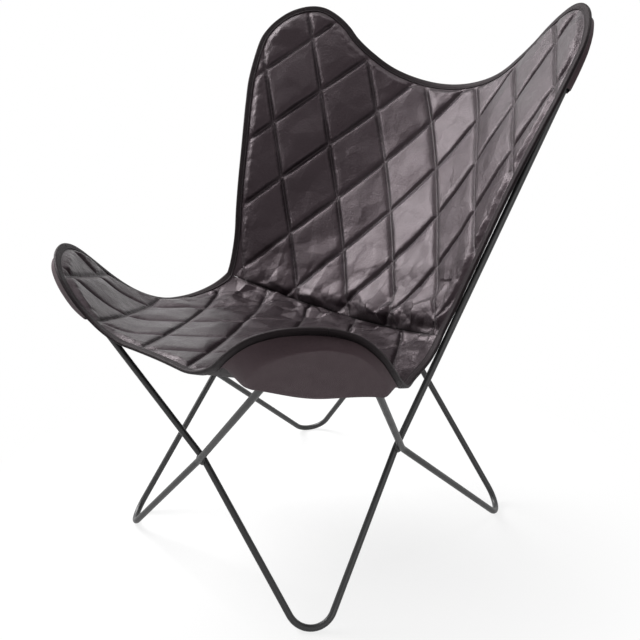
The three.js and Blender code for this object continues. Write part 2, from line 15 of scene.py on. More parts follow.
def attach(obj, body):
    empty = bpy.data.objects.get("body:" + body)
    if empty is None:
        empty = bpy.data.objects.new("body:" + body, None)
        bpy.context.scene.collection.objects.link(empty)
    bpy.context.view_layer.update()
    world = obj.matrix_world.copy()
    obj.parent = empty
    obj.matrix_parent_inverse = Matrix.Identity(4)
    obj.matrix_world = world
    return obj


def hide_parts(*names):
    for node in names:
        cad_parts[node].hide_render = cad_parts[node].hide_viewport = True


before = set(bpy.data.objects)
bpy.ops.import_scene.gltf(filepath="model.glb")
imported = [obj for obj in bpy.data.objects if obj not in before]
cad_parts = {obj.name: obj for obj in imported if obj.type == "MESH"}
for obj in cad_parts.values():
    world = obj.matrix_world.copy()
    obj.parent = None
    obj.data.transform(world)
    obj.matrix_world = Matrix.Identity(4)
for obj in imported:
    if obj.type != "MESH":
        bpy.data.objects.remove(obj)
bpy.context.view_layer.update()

BODY = "root"
# The sizes below are from the rod frame's own middle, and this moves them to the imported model's origin
FRAME_SHIFT = np.array([0.0, 0.0090758, 0.0])
LOG = logging.getLogger("sling_chair")

FAR_AWAY = 9.0
NUMBER = "NodeSocketFloat"
VECTOR = "NodeSocketVector"

Array = np.ndarray
Shape = Callable[[Array, Array], Array]
NetShape = Callable[[Array, Array], tuple[Array, dict[str, Array]]]
Pair = tuple[float, float]
Socket = bpy.types.NodeSocket
Tint = tuple[float, float, float]


class Slot(Enum):
    """The chair's material slots."""

    ROD = "rod_black"
    WELD = "weld_black"
    QUILT = "quilted_leather"
    BINDING = "binding_leather"
    POCKET = "pocket_leather"
    BACKING = "backing_cloth"


class Trim(Enum):
    """What is sewn into a leather."""

    PLAIN = "plain"
    QUILTED = "quilted"
    EDGED = "edged"


def mix(low: Array | float, high: Array | float, part: Array | float) -> Array | float:
    """The value a part of the way from low to high."""
    return low + (high - low) * part


def smooth(value: Array) -> Array:
    """A soft step from 0 to 1."""
    held = np.clip(value, 0.0, 1.0)
    return held * held * (3.0 - 2.0 * held)


# The sling's form


@dataclass(frozen=True)
class SlingForm:
    """The two surfaces that the sling hangs in, from flat leather coordinates to the room."""

    recline: float = math.radians(35.8)
    seam_reach: float = 0.345
    hollow_radius: float = 0.275
    hollow_offset: float = 0.162
    wing_angle: float = math.radians(33.0)
    waist_radius: float = 0.520
    waist_offset: float = 0.175
    waist_blend: float = 0.430
    seat_low: float = 0.379
    seat_rise: float = 0.047
    seat_length: float = 0.423
    fold_heading: float = math.radians(41.3)
    fold_start: float = 0.286
    fold_radius: float = 0.096
    fold_slope: float = 1.4
    seam_fade: float = 0.040

    def lean(self, x: Array, out: Array, up: Array) -> Array:
        """Points from a place across, out of and up the leaning back.

        Args:
            x: Distance to the sitter's left.
            out: Distance out of the back's plane.
            up: Distance up the back's plane.

        Returns:
            One row of x, y, z for each point.
        """
        tilt = self.recline
        y = -math.cos(tilt) * out + math.sin(tilt) * up
        z = math.sin(tilt) * out + math.cos(tilt) * up
        return np.stack([x, y, z], axis=-1)

    def back(self, s: Array, t: Array) -> Array:
        """Points of the back: s across the leather and t up from the waist."""
        blend = smooth(t / self.waist_blend)
        curvature = mix(1 / self.waist_radius, 1 / self.hollow_radius, blend)
        turned = np.minimum(np.abs(s), self.wing_angle / curvature)
        angle = turned * curvature
        beyond = np.abs(s) - turned
        across = np.sin(angle) / curvature + beyond * np.cos(angle)
        out = mix(self.waist_offset, self.hollow_offset, blend)
        out = out + (1 - np.cos(angle)) / curvature + beyond * np.sin(angle)
        return self.lean(np.sign(s) * across, out, self.seam_reach + t)

    def seam(self, x: Array) -> Array:
        """Points of the waist seam at a distance x to the sitter's left."""
        radius = self.waist_radius
        out = self.waist_offset + radius - np.sqrt(radius**2 - x * x)
        return self.lean(x, out, np.full_like(x, self.seam_reach))

    @property
    def fold_bend(self) -> float:
        """How fast the turned corner curves up."""
        return 1 / (2 * self.fold_radius)

    def fold_run(self, length: Array) -> Array:
        """The level distance that a length of leather covers up the turned corner."""
        bend = self.fold_bend
        arc_run = self.fold_slope / (2 * bend)

        def slope_length(run: Array) -> Array:
            """The leather's length up the bend to a level distance."""
            steep = 2 * bend * run
            return (run * np.sqrt(1 + steep**2) + np.arcsinh(steep) / (2 * bend)) / 2

        arc_length = slope_length(np.asarray(arc_run))
        run = np.minimum(length, arc_run)
        for _ in range(8):
            run = run - (slope_length(run) - length) / np.sqrt(1 + (2 * bend * run) ** 2)
        straight = arc_run + (length - arc_length) / math.sqrt(1 + self.fold_slope**2)
        return np.where(length >= arc_length, straight, run)

    def seat_level(self, y: Array) -> Array:
        """The height of the seat's middle at a distance y."""
        seam_y = self.seam(np.zeros(1))[0, 1]
        return self.seat_low + self.seat_rise * ((seam_y - y) / self.seat_length) ** 2

    def seat(self, a: Array, b: Array) -> Array:
        """Points of the seat: a across the leather and b towards the back."""
        across = math.cos(self.fold_heading)
        along = math.sin(self.fold_heading)
        over = np.maximum(across * np.abs(a) - along * b - self.fold_start, 0.0)
        run = self.fold_run(over)
        x = a + np.sign(a) * across * (run - over)
        y = b - along * (run - over)
        bent = np.minimum(run, self.fold_slope / (2 * self.fold_bend))
        rise = self.fold_bend * bent**2 + self.fold_slope * (run - bent)
        seam = self.seam(x)
        lift = (seam[:, 2] - self.seat_level(seam[:, 1])) * np.exp((y - seam[:, 1]) / self.seam_fade)
        return np.stack([x, y, self.seat_level(y) + rise + lift], axis=-1)


class EdgeLine:
    """A smooth line through the points of a cut edge, measured along its length."""

    def __init__(self, half: Sequence[Pair], pieces: int = 60) -> None:
        """Makes the whole line from its left half.

        Args:
            half: Points from the waist seam to the middle, on the sitter's left.
            pieces: Straight pieces between two points.
        """
        left = np.array(half, float)
        points = np.concatenate([left, left[-2::-1] * [-1.0, 1.0]])
        first = np.concatenate([points[:1], points[:-2]])
        last = np.concatenate([points[2:], points[-1:]])
        part = (np.arange(pieces) / pieces)[None, :, None]
        p0, p1, p2, p3 = (row[:, None, :] for row in (first, points[:-1], points[1:], last))
        out0 = (p2 - p0) / 2
        out1 = (p3 - p1) / 2
        curve = (2 * p1 - 2 * p2 + out0 + out1) * part**3
        curve = curve + (3 * p2 - 3 * p1 - 2 * out0 - out1) * part**2 + out0 * part + p1
        self.points = np.concatenate([curve.reshape(-1, 2), points[-1:]])
        steps = np.linalg.norm(np.diff(self.points, axis=0), axis=1)
        self.reach = np.concatenate([[0.0], np.cumsum(steps)])
        self.length = float(self.reach[-1])

    def at(self, u: Array) -> Array:
        """Points at parts u of the length."""
        place = np.asarray(u) * self.length
        return np.stack([np.interp(place, self.reach, self.points[:, k]) for k in (0, 1)], axis=-1)

    def heading(self, u: Array) -> Array:
        """Unit directions along the line at parts u of the length."""
        step = 0.002 / self.length
        low = np.clip(np.asarray(u) - step, 0, 1)
        high = np.clip(np.asarray(u) + step, 0, 1)
        way = self.at(high) - self.at(low)
        return way / np.linalg.norm(way, axis=-1, keepdims=True)

    def nearest(self, point: Pair) -> float:
        """The part of the length that lies nearest to a point."""
        away = np.linalg.norm(self.points - np.array(point), axis=1)
        return float(self.reach[int(np.argmin(away))] / self.length)


@dataclass
class LeatherCut:
    """One flat piece of the sling: its outline, its quilting and the surface that it hangs in."""

    name: str
    place: Shape
    half_edge: list[Pair]
    tip_point: Pair
    cell: Pair
    cell_start: Pair
    seam: Callable[[Array], Array]
    side: int
    second_line: float

    def __post_init__(self) -> None:
        """Makes the edge line and finds the wing's tip on it."""
        self.edge = EdgeLine(self.half_edge)
        self.tip = self.edge.nearest(self.tip_point)

    def normal(self, s: Array, t: Array) -> Array:
        """Unit normals towards the sitter."""
        step = 0.0005
        along = self.place(s + step, t) - self.place(s - step, t)
        upward = self.place(s, t + step) - self.place(s, t - step)
        way = np.cross(along, upward)
        return way / np.linalg.norm(way, axis=-1, keepdims=True)

    def raised(self, flat: Array, height: Array | float) -> Array:
        """Points of the room at a height over the sling.

        Args:
            flat: Flat leather coordinates, one row a point.
            height: Height towards the sitter.

        Returns:
            One row of x, y, z for each point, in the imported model's frame.
        """
        s, t = flat[:, 0], flat[:, 1]
        high = np.broadcast_to(np.asarray(height, float), s.shape)
        return self.place(s, t) + self.normal(s, t) * high[:, None] + FRAME_SHIFT

    def outward(self, u: Array) -> Array:
        """Flat unit directions out of the edge."""
        way = self.edge.heading(u)
        return np.stack([way[..., 1], -way[..., 0]], axis=-1) * self.side

    def edge_point(self, u: Array, out: Array | float) -> Array:
        """Flat points at a distance out of the edge."""
        away = np.broadcast_to(np.asarray(out, float), np.shape(u))
        return self.edge.at(u) + self.outward(u) * away[..., None]

    def flat_at(self, w: Array, v: Array) -> Array:
        """Flat points of a net that fits the outline.

        Args:
            w: Part of the way across, so that faces look towards the sitter.
            v: Part of the way from the waist seam to the far edge.

        Returns:
            Flat leather coordinates, one row a point.
        """
        x = (1 - w) if self.side > 0 else w
        left = self.edge.at(self.tip * v)
        right = self.edge.at(1 - self.tip * v)
        far = self.edge.at(mix(self.tip, 1 - self.tip, x))
        near = self.seam(mix(1.0, -1.0, x))
        x = x[:, None]
        v = v[:, None]
        ends = np.array([0.0, 1.0])
        corner_near = self.edge.at(ends)
        corner_far = self.edge.at(np.array([self.tip, 1 - self.tip]))
        ruled = (1 - v) * near + v * far + (1 - x) * left + x * right
        plain = (1 - v) * ((1 - x) * corner_near[0] + x * corner_near[1])
        return ruled - plain - v * ((1 - x) * corner_far[0] + x * corner_far[1])

    def cells(self, flat: Array) -> Array:
        """Places counted in quilt cells, along each of the two families of lines."""
        a = (flat[:, 0] - self.cell_start[0]) / self.cell[0]
        b = (flat[:, 1] - self.cell_start[1]) / self.cell[1]
        return np.stack([(a + b) / 2, (b - a) / 2], axis=-1)

    def lines(self, flat: Array) -> tuple[Array, Array]:
        """Signed distances to the nearest quilting line of each of the two families."""
        pace = math.hypot(1 / self.cell[0], 1 / self.cell[1]) / 2
        counted = self.cells(flat)
        away = (counted - np.round(counted)) / pace
        return away[:, 0], away[:, 1]

    def settled(self, flat: Array, reach: float) -> Array:
        """Flat points with those near a quilting line moved onto it."""
        slope = np.array([1 / self.cell[0], 1 / self.cell[1]])
        slope = slope / np.linalg.norm(slope)
        for family, way in enumerate((slope, slope * [-1.0, 1.0])):
            away = self.lines(flat)[family]
            near = (np.abs(away) < reach)[:, None]
            flat = np.where(near, flat - away[:, None] * way, flat)
        return flat

    def from_edge(self, flat: Array) -> Array:
        """Distances from the bound edge."""
        line = self.edge.points[::6]
        found = np.full(len(flat), FAR_AWAY)
        for point in line:
            found = np.minimum(found, np.hypot(flat[:, 0] - point[0], flat[:, 1] - point[1]))
        return found

    def area(self) -> float:
        """The flat area of the cut."""
        near = self.seam(np.linspace(-1.0, 1.0, 60))
        ring = np.concatenate([self.edge.points, near])
        after = np.roll(ring, -1, axis=0)
        return abs(float(np.sum(ring[:, 0] * after[:, 1] - after[:, 0] * ring[:, 1]))) / 2

    def size(self) -> Pair:
        """The width and length of the cut."""
        near = self.seam(np.linspace(-1.0, 1.0, 60))
        ring = np.concatenate([self.edge.points, near])
        return tuple(float(x) for x in ring.max(axis=0) - ring.min(axis=0))


class LeatherNoise:
    """Smooth bumps on a fixed seeded lattice, the same in each run."""

    def __init__(self, seed: int, count: int = 97) -> None:
        """Draws the lattice's heights from the seed."""
        self.count = count
        self.heights = np.random.default_rng(seed).uniform(-1.0, 1.0, (count, count))

    def at(self, s: Array, t: Array, step: Pair, start: Pair) -> Array:
        """Heights from -1 to 1 at flat places, on a lattice of the given step and start."""
        x = s / step[0] + start[0]
        y = t / step[1] + start[1]
        low_x = np.floor(x).astype(int)
        low_y = np.floor(y).astype(int)
        part_x = smooth(x - low_x)
        part_y = smooth(y - low_y)
        here = self.heights[low_x % self.count, low_y % self.count]
        right = self.heights[(low_x + 1) % self.count, low_y % self.count]
        above = self.heights[low_x % self.count, (low_y + 1) % self.count]
        both = self.heights[(low_x + 1) % self.count, (low_y + 1) % self.count]
        return mix(mix(here, right, part_x), mix(above, both, part_x), part_y)

    def crumple(self, s: Array, t: Array, step: Pair, start: Pair) -> Array:
        """Heights of tilted facets that meet in straight creases, one facet to each step of the lattice."""
        x = s / step[0] + start[0]
        y = t / step[1] + start[1]
        low_x = np.floor(x).astype(int)
        low_y = np.floor(y).astype(int)
        highest = np.full(x.shape, -FAR_AWAY)
        for step_x in (-1, 0, 1):
            for step_y in (-1, 0, 1):
                across = (low_x + step_x) % self.count
                along = (low_y + step_y) % self.count
                off_x = x - low_x - step_x - 0.5 - 0.45 * self.heights[across, along]
                off_y = y - low_y - step_y - 0.5 - 0.45 * self.heights[(along + 41) % self.count, across]
                tilt_x = self.heights[across, (along + 13) % self.count]
                tilt_y = self.heights[(across + 29) % self.count, along]
                facet = tilt_x * off_x + tilt_y * off_y - off_x**2 - off_y**2
                highest = np.maximum(highest, facet)
        return highest


# Meshes


def into_scene(name: str, mesh: bpy.types.Mesh, finish: bpy.types.Material) -> bpy.types.Object:
    """Puts a mesh in the scene as a piece that rides on the chair.

    Args:
        name: The piece's name.
        mesh: Its mesh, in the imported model's frame.
        finish: Its material.

    Returns:
        The piece's object.
    """
    mesh.materials.append(finish)
    piece = bpy.data.objects.new(name, mesh)
    bpy.context.scene.collection.objects.link(piece)
    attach(piece, BODY)
    LOG.info("%s: %d faces", name, len(mesh.polygons))
    return piece


def finished_mesh(name: str, bm: bmesh.types.BMesh, sharp: float = 40.0) -> bpy.types.Mesh:
    """A mesh with smooth faces and sharp edges past an angle.

    Args:
        name: The mesh's name.
        bm: The shape, which is freed.
        sharp: The angle in degrees past which an edge stays sharp.

    Returns:
        The mesh.
    """
    bmesh.ops.recalc_face_normals(bm, faces=bm.faces)
    mesh = bpy.data.meshes.new(name)
    bm.to_mesh(mesh)
    bm.free()
    mesh.polygons.foreach_set("use_smooth", np.ones(len(mesh.polygons), bool))
    mesh.set_sharp_from_angle(angle=math.radians(sharp))
    return mesh


def hung_net(name: str, columns: int, rows: int, shape: NetShape) -> bpy.types.Mesh:
    """A net of square faces moved to its hung form.

    Args:
        name: The mesh's name.
        columns: Faces across.
        rows: Faces along.
        shape: Gives the points, and the named maps of the cut, for parts across and along.

    Returns:
        The mesh. A map of pairs becomes a UV map, and a map of numbers becomes an attribute.
    """
    bm = bmesh.new()
    bmesh.ops.create_grid(bm, x_segments=columns, y_segments=rows, size=0.5)
    mesh = bpy.data.meshes.new(name)
    bm.to_mesh(mesh)
    bm.free()
    corners = np.zeros(len(mesh.vertices) * 3, np.float32)
    mesh.vertices.foreach_get("co", corners)
    corners = corners.reshape(-1, 3).astype(float) + 0.5
    points, maps = shape(corners[:, 0], corners[:, 1])
    mesh.vertices.foreach_set("co", points.astype(np.float32).ravel())
    used = np.zeros(len(mesh.loops), np.int32)
    mesh.loops.foreach_get("vertex_index", used)
    for label, values in maps.items():
        if values.ndim == 2:
            layer = mesh.uv_layers.new(name=label)
            layer.uv.foreach_set("vector", values[used].astype(np.float32).ravel())
        else:
            layer = mesh.attributes.new(label, "FLOAT", "POINT")
            layer.data.foreach_set("value", values.astype(np.float32))
    mesh.polygons.foreach_set("use_smooth", np.ones(len(mesh.polygons), bool))
    mesh.update()
    return mesh


def thicken(piece: bpy.types.Object, thickness: float, offset: float = -1.0) -> None:
    """Gives a sheet its thickness, below its upper face."""
    wall = piece.modifiers.new("thickness", "SOLIDIFY")
    wall.thickness = thickness
    wall.offset = offset
    wall.use_even_offset = False


# Finishes


class NodeSheet:
    """A node tree with short ways to add and join nodes."""

    def __init__(self, tree: bpy.types.NodeTree) -> None:
        """Keeps the tree."""
        self.tree = tree

    def add(self, kind: str, settings: dict[str, object] | None = None, **inputs: object) -> bpy.types.Node:
        """Adds a node.

        Args:
            kind: The node's Blender type.
            settings: Values of the node itself.
            inputs: Values or sockets for its inputs, with _ for a space in the name.

        Returns:
            The node.
        """
        node = self.tree.nodes.new(kind)
        for key, value in (settings or {}).items():
            setattr(node, key, value)
        for key, value in inputs.items():
            socket = node.inputs[int(key[2:])] if key.startswith("at") else node.inputs[key.replace("_", " ")]
            if isinstance(value, Socket):
                self.tree.links.new(value, socket)
            else:
                socket.default_value = value
        return node

    def maths(self, operation: str, first: object, second: object = 0.0) -> Socket:
        """A number worked out from two others."""
        return self.add("ShaderNodeMath", {"operation": operation}, at0=first, at1=second).outputs[0]

    def times(self, first: object, second: object) -> Socket:
        """The product of two numbers."""
        return self.maths("MULTIPLY", first, second)

    def ranged(self, value: object, low: float, high: float, to_low: float, to_high: float) -> Socket:
        """A number moved from one range to another and held in it."""
        node = self.add("ShaderNodeMapRange", None, Value=value, From_Min=low, From_Max=high)
        node.inputs["To Min"].default_value = to_low
        node.inputs["To Max"].default_value = to_high
        return node.outputs[0]

    def colours(self, part: object, first: object, second: object) -> Socket:
        """A colour between two others."""
        node = self.add("ShaderNodeMix", {"data_type": "RGBA"})
        for index, value in ((0, part), (6, first), (7, second)):
            if isinstance(value, Socket):
                self.tree.links.new(value, node.inputs[index])
            else:
                node.inputs[index].default_value = value
        return node.outputs[2]


def new_material(name: str) -> tuple[bpy.types.Material, NodeSheet, bpy.types.Node]:
    """A material, its nodes and its main shader."""
    made = bpy.data.materials.new(name)
    made.use_nodes = True
    return made, NodeSheet(made.node_tree), made.node_tree.nodes["Principled BSDF"]


def new_group(
    name: str, inputs: dict[str, tuple[str, object]], outputs: dict[str, str]
) -> bpy.types.NodeTree:
    """A shader node group with named sockets.

    Args:
        name: The group's name.
        inputs: Socket type and default for each input.
        outputs: Socket type for each output.

    Returns:
        The group, with no nodes in it.
    """
    group = bpy.data.node_groups.new(name, "ShaderNodeTree")
    for label, (kind, default) in inputs.items():
        socket = group.interface.new_socket(label, in_out="INPUT", socket_type=kind)
        if default is not None:
            socket.default_value = default
    for label, kind in outputs.items():
        group.interface.new_socket(label, in_out="OUTPUT", socket_type=kind)
    return group


def leather_grain() -> bpy.types.NodeTree:
    """Pores, fine lines and cloudy patches of smooth leather, in metres."""
    group = new_group(
        "leather_grain",
        {"Place": (VECTOR, None), "Pores": (NUMBER, 900.0), "Patches": (NUMBER, 26.0)},
        {"Height": NUMBER, "Cloud": NUMBER, "Fine": NUMBER},
    )
    sheet = NodeSheet(group)
    given = sheet.add("NodeGroupInput").outputs
    place = given["Place"]
    pores = sheet.add(
        "ShaderNodeTexVoronoi", {"feature": "DISTANCE_TO_EDGE"}, Vector=place, Scale=given["Pores"]
    )
    lines = sheet.ranged(pores.outputs["Distance"], 0.0, 0.16, 0.0, 1.0)
    cloud = sheet.add(
        "ShaderNodeTexNoise", None, Vector=place, Scale=given["Patches"], Detail=5.0, Roughness=0.62
    )
    broad = sheet.ranged(cloud.outputs["Fac"], 0.34, 0.68, 0.0, 1.0)
    finer = sheet.times(given["Patches"], 15.0)
    fine = sheet.add("ShaderNodeTexNoise", None, Vector=place, Scale=finer, Detail=4.0, Roughness=0.7)
    speck = sheet.ranged(fine.outputs["Fac"], 0.36, 0.66, 0.0, 1.0)
    middle = sheet.times(given["Patches"], 10.0)
    dents = sheet.add("ShaderNodeTexNoise", None, Vector=place, Scale=middle, Detail=3.0, Roughness=0.65)
    height = sheet.maths("ADD", sheet.times(lines, 0.5), sheet.times(speck, 0.5))
    height = sheet.maths("ADD", height, sheet.times(dents.outputs["Fac"], 4.5))
    sheet.add("NodeGroupOutput", None, Height=height, Cloud=broad, Fine=speck)
    return group


def quilt_lines() -> bpy.types.NodeTree:
    """Grooves, stitches and puckers of the quilting, and a mask of painted shade along its lines, from a map
    that counts quilt cells.
    """
    group = new_group(
        "quilt_lines",
        {
            "Cells": (VECTOR, None), "Spacing": (NUMBER, 0.098),
            "Second": (NUMBER, 1.0), "Pitch": (NUMBER, 0.006),
        },
        {"Groove": NUMBER, "Line": NUMBER, "Thread": NUMBER, "Pucker": NUMBER},
    )
    sheet = NodeSheet(group)
    given = sheet.add("NodeGroupInput").outputs
    parts = sheet.add("ShaderNodeSeparateXYZ", None, Vector=given["Cells"]).outputs
    found: dict[str, list[Socket]] = {"Groove": [], "Line": [], "Thread": [], "Pucker": []}
    for across, along, weight in ((parts[0], parts[1], 1.0), (parts[1], parts[0], given["Second"])):
        away = sheet.times(sheet.maths("PINGPONG", across, 0.5), given["Spacing"])
        run = sheet.times(along, given["Spacing"])
        groove = sheet.maths("POWER", sheet.ranged(away, 0.0, 0.0080, 1.0, 0.0), 1.7)
        found["Groove"].append(sheet.times(groove, weight))
        # Line is a mask of painted shade along each quilting line, the colour darkened where the groove's
        # hollow is shaded
        found["Line"].append(sheet.times(sheet.ranged(away, 0.0010, 0.0042, 1.0, 0.0), weight))
        dash = sheet.maths("PINGPONG", sheet.maths("DIVIDE", run, given["Pitch"]), 0.5)
        thread = sheet.ranged(away, 0.0004, 0.0009, 1.0, 0.0)
        found["Thread"].append(sheet.times(thread, sheet.ranged(dash, 0.28, 0.36, 1.0, 0.0)))
        spot = sheet.add("ShaderNodeCombineXYZ", None, X=sheet.times(run, 130.0), Y=sheet.times(away, 42.0))
        ripple = sheet.add(
            "ShaderNodeTexNoise", None, Vector=spot.outputs[0], Scale=1.0, Detail=3.0, Roughness=0.6
        )
        fade = sheet.ranged(away, 0.002, 0.020, 1.0, 0.0)
        found["Pucker"].append(sheet.times(sheet.maths("SUBTRACT", ripple.outputs["Fac"], 0.5), fade))
    sheet.add(
        "NodeGroupOutput", None,
        Groove=sheet.maths("MAXIMUM", *found["Groove"]),
        Line=sheet.maths("MAXIMUM", *found["Line"]),
        Thread=sheet.maths("MAXIMUM", *found["Thread"]),
        Pucker=sheet.maths("ADD", *found["Pucker"]),
    )
    return group


def stitch_rows() -> bpy.types.NodeTree:
    """A row of stitches and its pressed seam along each long side of a strip; the seam mask gives both the
    dent and painted shade in it.
    """
    group = new_group(
        "stitch_rows",
        {
            "Place": (VECTOR, None), "Width": (NUMBER, 0.025),
            "Inset": (NUMBER, 0.002), "Pitch": (NUMBER, 0.0045),
        },
        {"Thread": NUMBER, "Seam": NUMBER},
    )
    sheet = NodeSheet(group)
    given = sheet.add("NodeGroupInput").outputs
    parts = sheet.add("ShaderNodeSeparateXYZ", None, Vector=given["Place"]).outputs
    across = sheet.maths("MINIMUM", parts[1], sheet.maths("SUBTRACT", given["Width"], parts[1]))
    away = sheet.maths("ABSOLUTE", sheet.maths("SUBTRACT", across, given["Inset"]))
    dash = sheet.maths("PINGPONG", sheet.maths("DIVIDE", parts[0], given["Pitch"]), 0.5)
    thread = sheet.ranged(away, 0.0003, 0.0007, 1.0, 0.0)
    thread = sheet.times(thread, sheet.ranged(dash, 0.3, 0.38, 1.0, 0.0))
    # Seam marks the pressed seam: it dents the binding and paints shade into the dent
    sheet.add("NodeGroupOutput", None, Thread=thread, Seam=sheet.ranged(away, 0.0, 0.0018, 1.0, 0.0))
    return group


def coat_speckle() -> bpy.types.NodeTree:
    """The slightly uneven skin of powder-coated steel."""
    group = new_group(
        "coat_speckle",
        {"Place": (VECTOR, None), "Scale": (NUMBER, 700.0)},
        {"Height": NUMBER, "Rub": NUMBER},
    )
    sheet = NodeSheet(group)
    given = sheet.add("NodeGroupInput").outputs
    skin = sheet.add("ShaderNodeTexNoise", None, Vector=given["Place"], Scale=given["Scale"], Detail=3.0)
    rub = sheet.add("ShaderNodeTexNoise", None, Vector=given["Place"], Scale=38.0, Detail=4.0, Roughness=0.6)
    worn = sheet.ranged(rub.outputs["Fac"], 0.4, 0.7, 0.0, 1.0)
    sheet.add("NodeGroupOutput", None, Height=skin.outputs["Fac"], Rub=worn)
    return group


@dataclass(frozen=True)
class LeatherFinish:
    """A dyed leather: its tones, its gloss, its grain, what is sewn into it and the shade painted into its
    grooves and seams.
    """

    name: str
    deep: Tint
    light: Tint
    roughness: Pair
    shine: float
    coat: float
    pores: float
    patches: float
    grain_height: float
    trim: Trim = Trim.PLAIN
    thread: Tint = (0.020, 0.016, 0.018)
    # Painted shade: the dark colour that quilting lines, pressed seams and the waist seam are tinted towards
    groove: Tint = (0.0025, 0.0018, 0.0020)
    strip_width: float = 1.0
    stitch_inset: float = 0.0024
    sheen_tint: Tint = (1.0, 0.78, 0.87)
    coat_roughness: float = 0.24
    pucker_height: float = 0.0016
    groove_depth: float = 0.0022
    seam_depth: float = 0.0007
    thread_height: float = 0.0005
    # How fully the painted groove shade and the thread's own colour cover the leather's colour
    groove_shade_and_thread_cover: float = 0.9

    def material(self, groups: dict[str, bpy.types.NodeTree]) -> bpy.types.Material:
        """The leather's material.

        Args:
            groups: The shared node groups, by name.

        Returns:
            The material.
        """
        made, sheet, shader = new_material(self.name)
        place = sheet.add("ShaderNodeUVMap", {"uv_map": "cut"}).outputs["UV"]
        skin = sheet.add(
            "ShaderNodeGroup", {"node_tree": groups["leather_grain"]},
            Place=place, Pores=self.pores, Patches=self.patches,
        ).outputs
        tone = sheet.maths("ADD", sheet.times(skin["Cloud"], 0.5), sheet.times(skin["Fine"], 0.5))
        colour = sheet.colours(tone, (*self.deep, 1.0), (*self.light, 1.0))
        rough = sheet.ranged(tone, 0.0, 1.0, self.roughness[1], self.roughness[0])
        height = sheet.times(skin["Height"], self.grain_height)
        if self.trim is not Trim.PLAIN:
            colour, height = self.sewn(sheet, groups, place, colour, height)
        bump = sheet.add("ShaderNodeBump", None, Strength=1.0, Distance=1.0, Height=height)
        links = made.node_tree.links
        links.new(colour, shader.inputs["Base Color"])
        links.new(rough, shader.inputs["Roughness"])
        links.new(bump.outputs["Normal"], shader.inputs["Normal"])
        shader.inputs["Specular IOR Level"].default_value = self.shine
        shader.inputs["Specular Tint"].default_value = (*self.sheen_tint, 1.0)
        shader.inputs["Coat Weight"].default_value = self.coat
        shader.inputs["Coat Roughness"].default_value = self.coat_roughness
        return made

    def sewn(
        self, sheet: NodeSheet, groups: dict[str, bpy.types.NodeTree],
        place: Socket, colour: Socket, height: Socket,
    ) -> tuple[Socket, Socket]:
        """Adds the quilting or the edge stitches, with painted shade along their grooves and seams.

        Args:
            sheet: The material's nodes.
            groups: The shared node groups, by name.
            place: The leather's flat coordinates.
            colour: The colour so far.
            height: The height in metres so far.

        Returns:
            The colour and the height.
        """
        if self.trim is Trim.QUILTED:
            cells = sheet.add("ShaderNodeUVMap", {"uv_map": "quilt"}).outputs["UV"]
            second = sheet.add("ShaderNodeAttribute", {"attribute_name": "second_line"}).outputs["Fac"]
            free = sheet.add("ShaderNodeAttribute", {"attribute_name": "free"}).outputs["Fac"]
            lines = sheet.add(
                "ShaderNodeGroup", {"node_tree": groups["quilt_lines"]}, Cells=cells, Second=second
            ).outputs
            seam = sheet.add("ShaderNodeAttribute", {"attribute_name": "seam"}).outputs["Fac"]
            # Painted shade: darker along the quilting lines and along the waist seam
            groove = sheet.maths("MAXIMUM", sheet.times(lines["Line"], free), seam)
            thread = sheet.times(lines["Thread"], free)
            pucker = sheet.times(lines["Pucker"], self.pucker_height)
            height = sheet.maths("ADD", height, sheet.times(pucker, free))
            dent = sheet.times(sheet.times(lines["Groove"], free), self.groove_depth)
            height = sheet.maths("SUBTRACT", height, dent)
        else:
            rows = sheet.add(
                "ShaderNodeGroup", {"node_tree": groups["stitch_rows"]},
                Place=place, Width=self.strip_width, Inset=self.stitch_inset,
            ).outputs
            groove = rows["Seam"]
            thread = rows["Thread"]
            height = sheet.maths("SUBTRACT", height, sheet.times(groove, self.seam_depth))
        # Paints shade into the grooves and seams, then lays on the thread's own colour
        colour = sheet.colours(sheet.times(groove, self.groove_shade_and_thread_cover), colour, (*self.groove, 1.0))
        colour = sheet.colours(sheet.times(thread, self.groove_shade_and_thread_cover), colour, (*self.thread, 1.0))
        height = sheet.maths("ADD", height, sheet.times(thread, self.thread_height))
        return colour, height


@dataclass(frozen=True)
class CoatFinish:
    """A satin black powder coat on steel."""

    name: str
    colour: Tint
    rubbed: Tint
    roughness: float
    bump: float
    speckle_scale: float = 900.0
    rub_roughness: float = 0.1
    skin_height: float = 0.0003

    def material(self, speckle: bpy.types.NodeTree) -> bpy.types.Material:
        """The coat's material, on the shared speckle group."""
        made, sheet, shader = new_material(self.name)
        place = sheet.add("ShaderNodeTexCoord").outputs["Object"]
        pattern = sheet.add("ShaderNodeGroup", {"node_tree": speckle}, Place=place, Scale=self.speckle_scale)
        rub = pattern.outputs["Rub"]
        links = made.node_tree.links
        links.new(sheet.colours(rub, (*self.colour, 1.0), (*self.rubbed, 1.0)), shader.inputs["Base Color"])
        rubbed = self.roughness + self.rub_roughness
        links.new(sheet.ranged(rub, 0.0, 1.0, self.roughness, rubbed), shader.inputs["Roughness"])
        skin = pattern.outputs["Height"]
        bump = sheet.add("ShaderNodeBump", None, Strength=self.bump, Distance=self.skin_height, Height=skin)
        links.new(bump.outputs["Normal"], shader.inputs["Normal"])
        return made


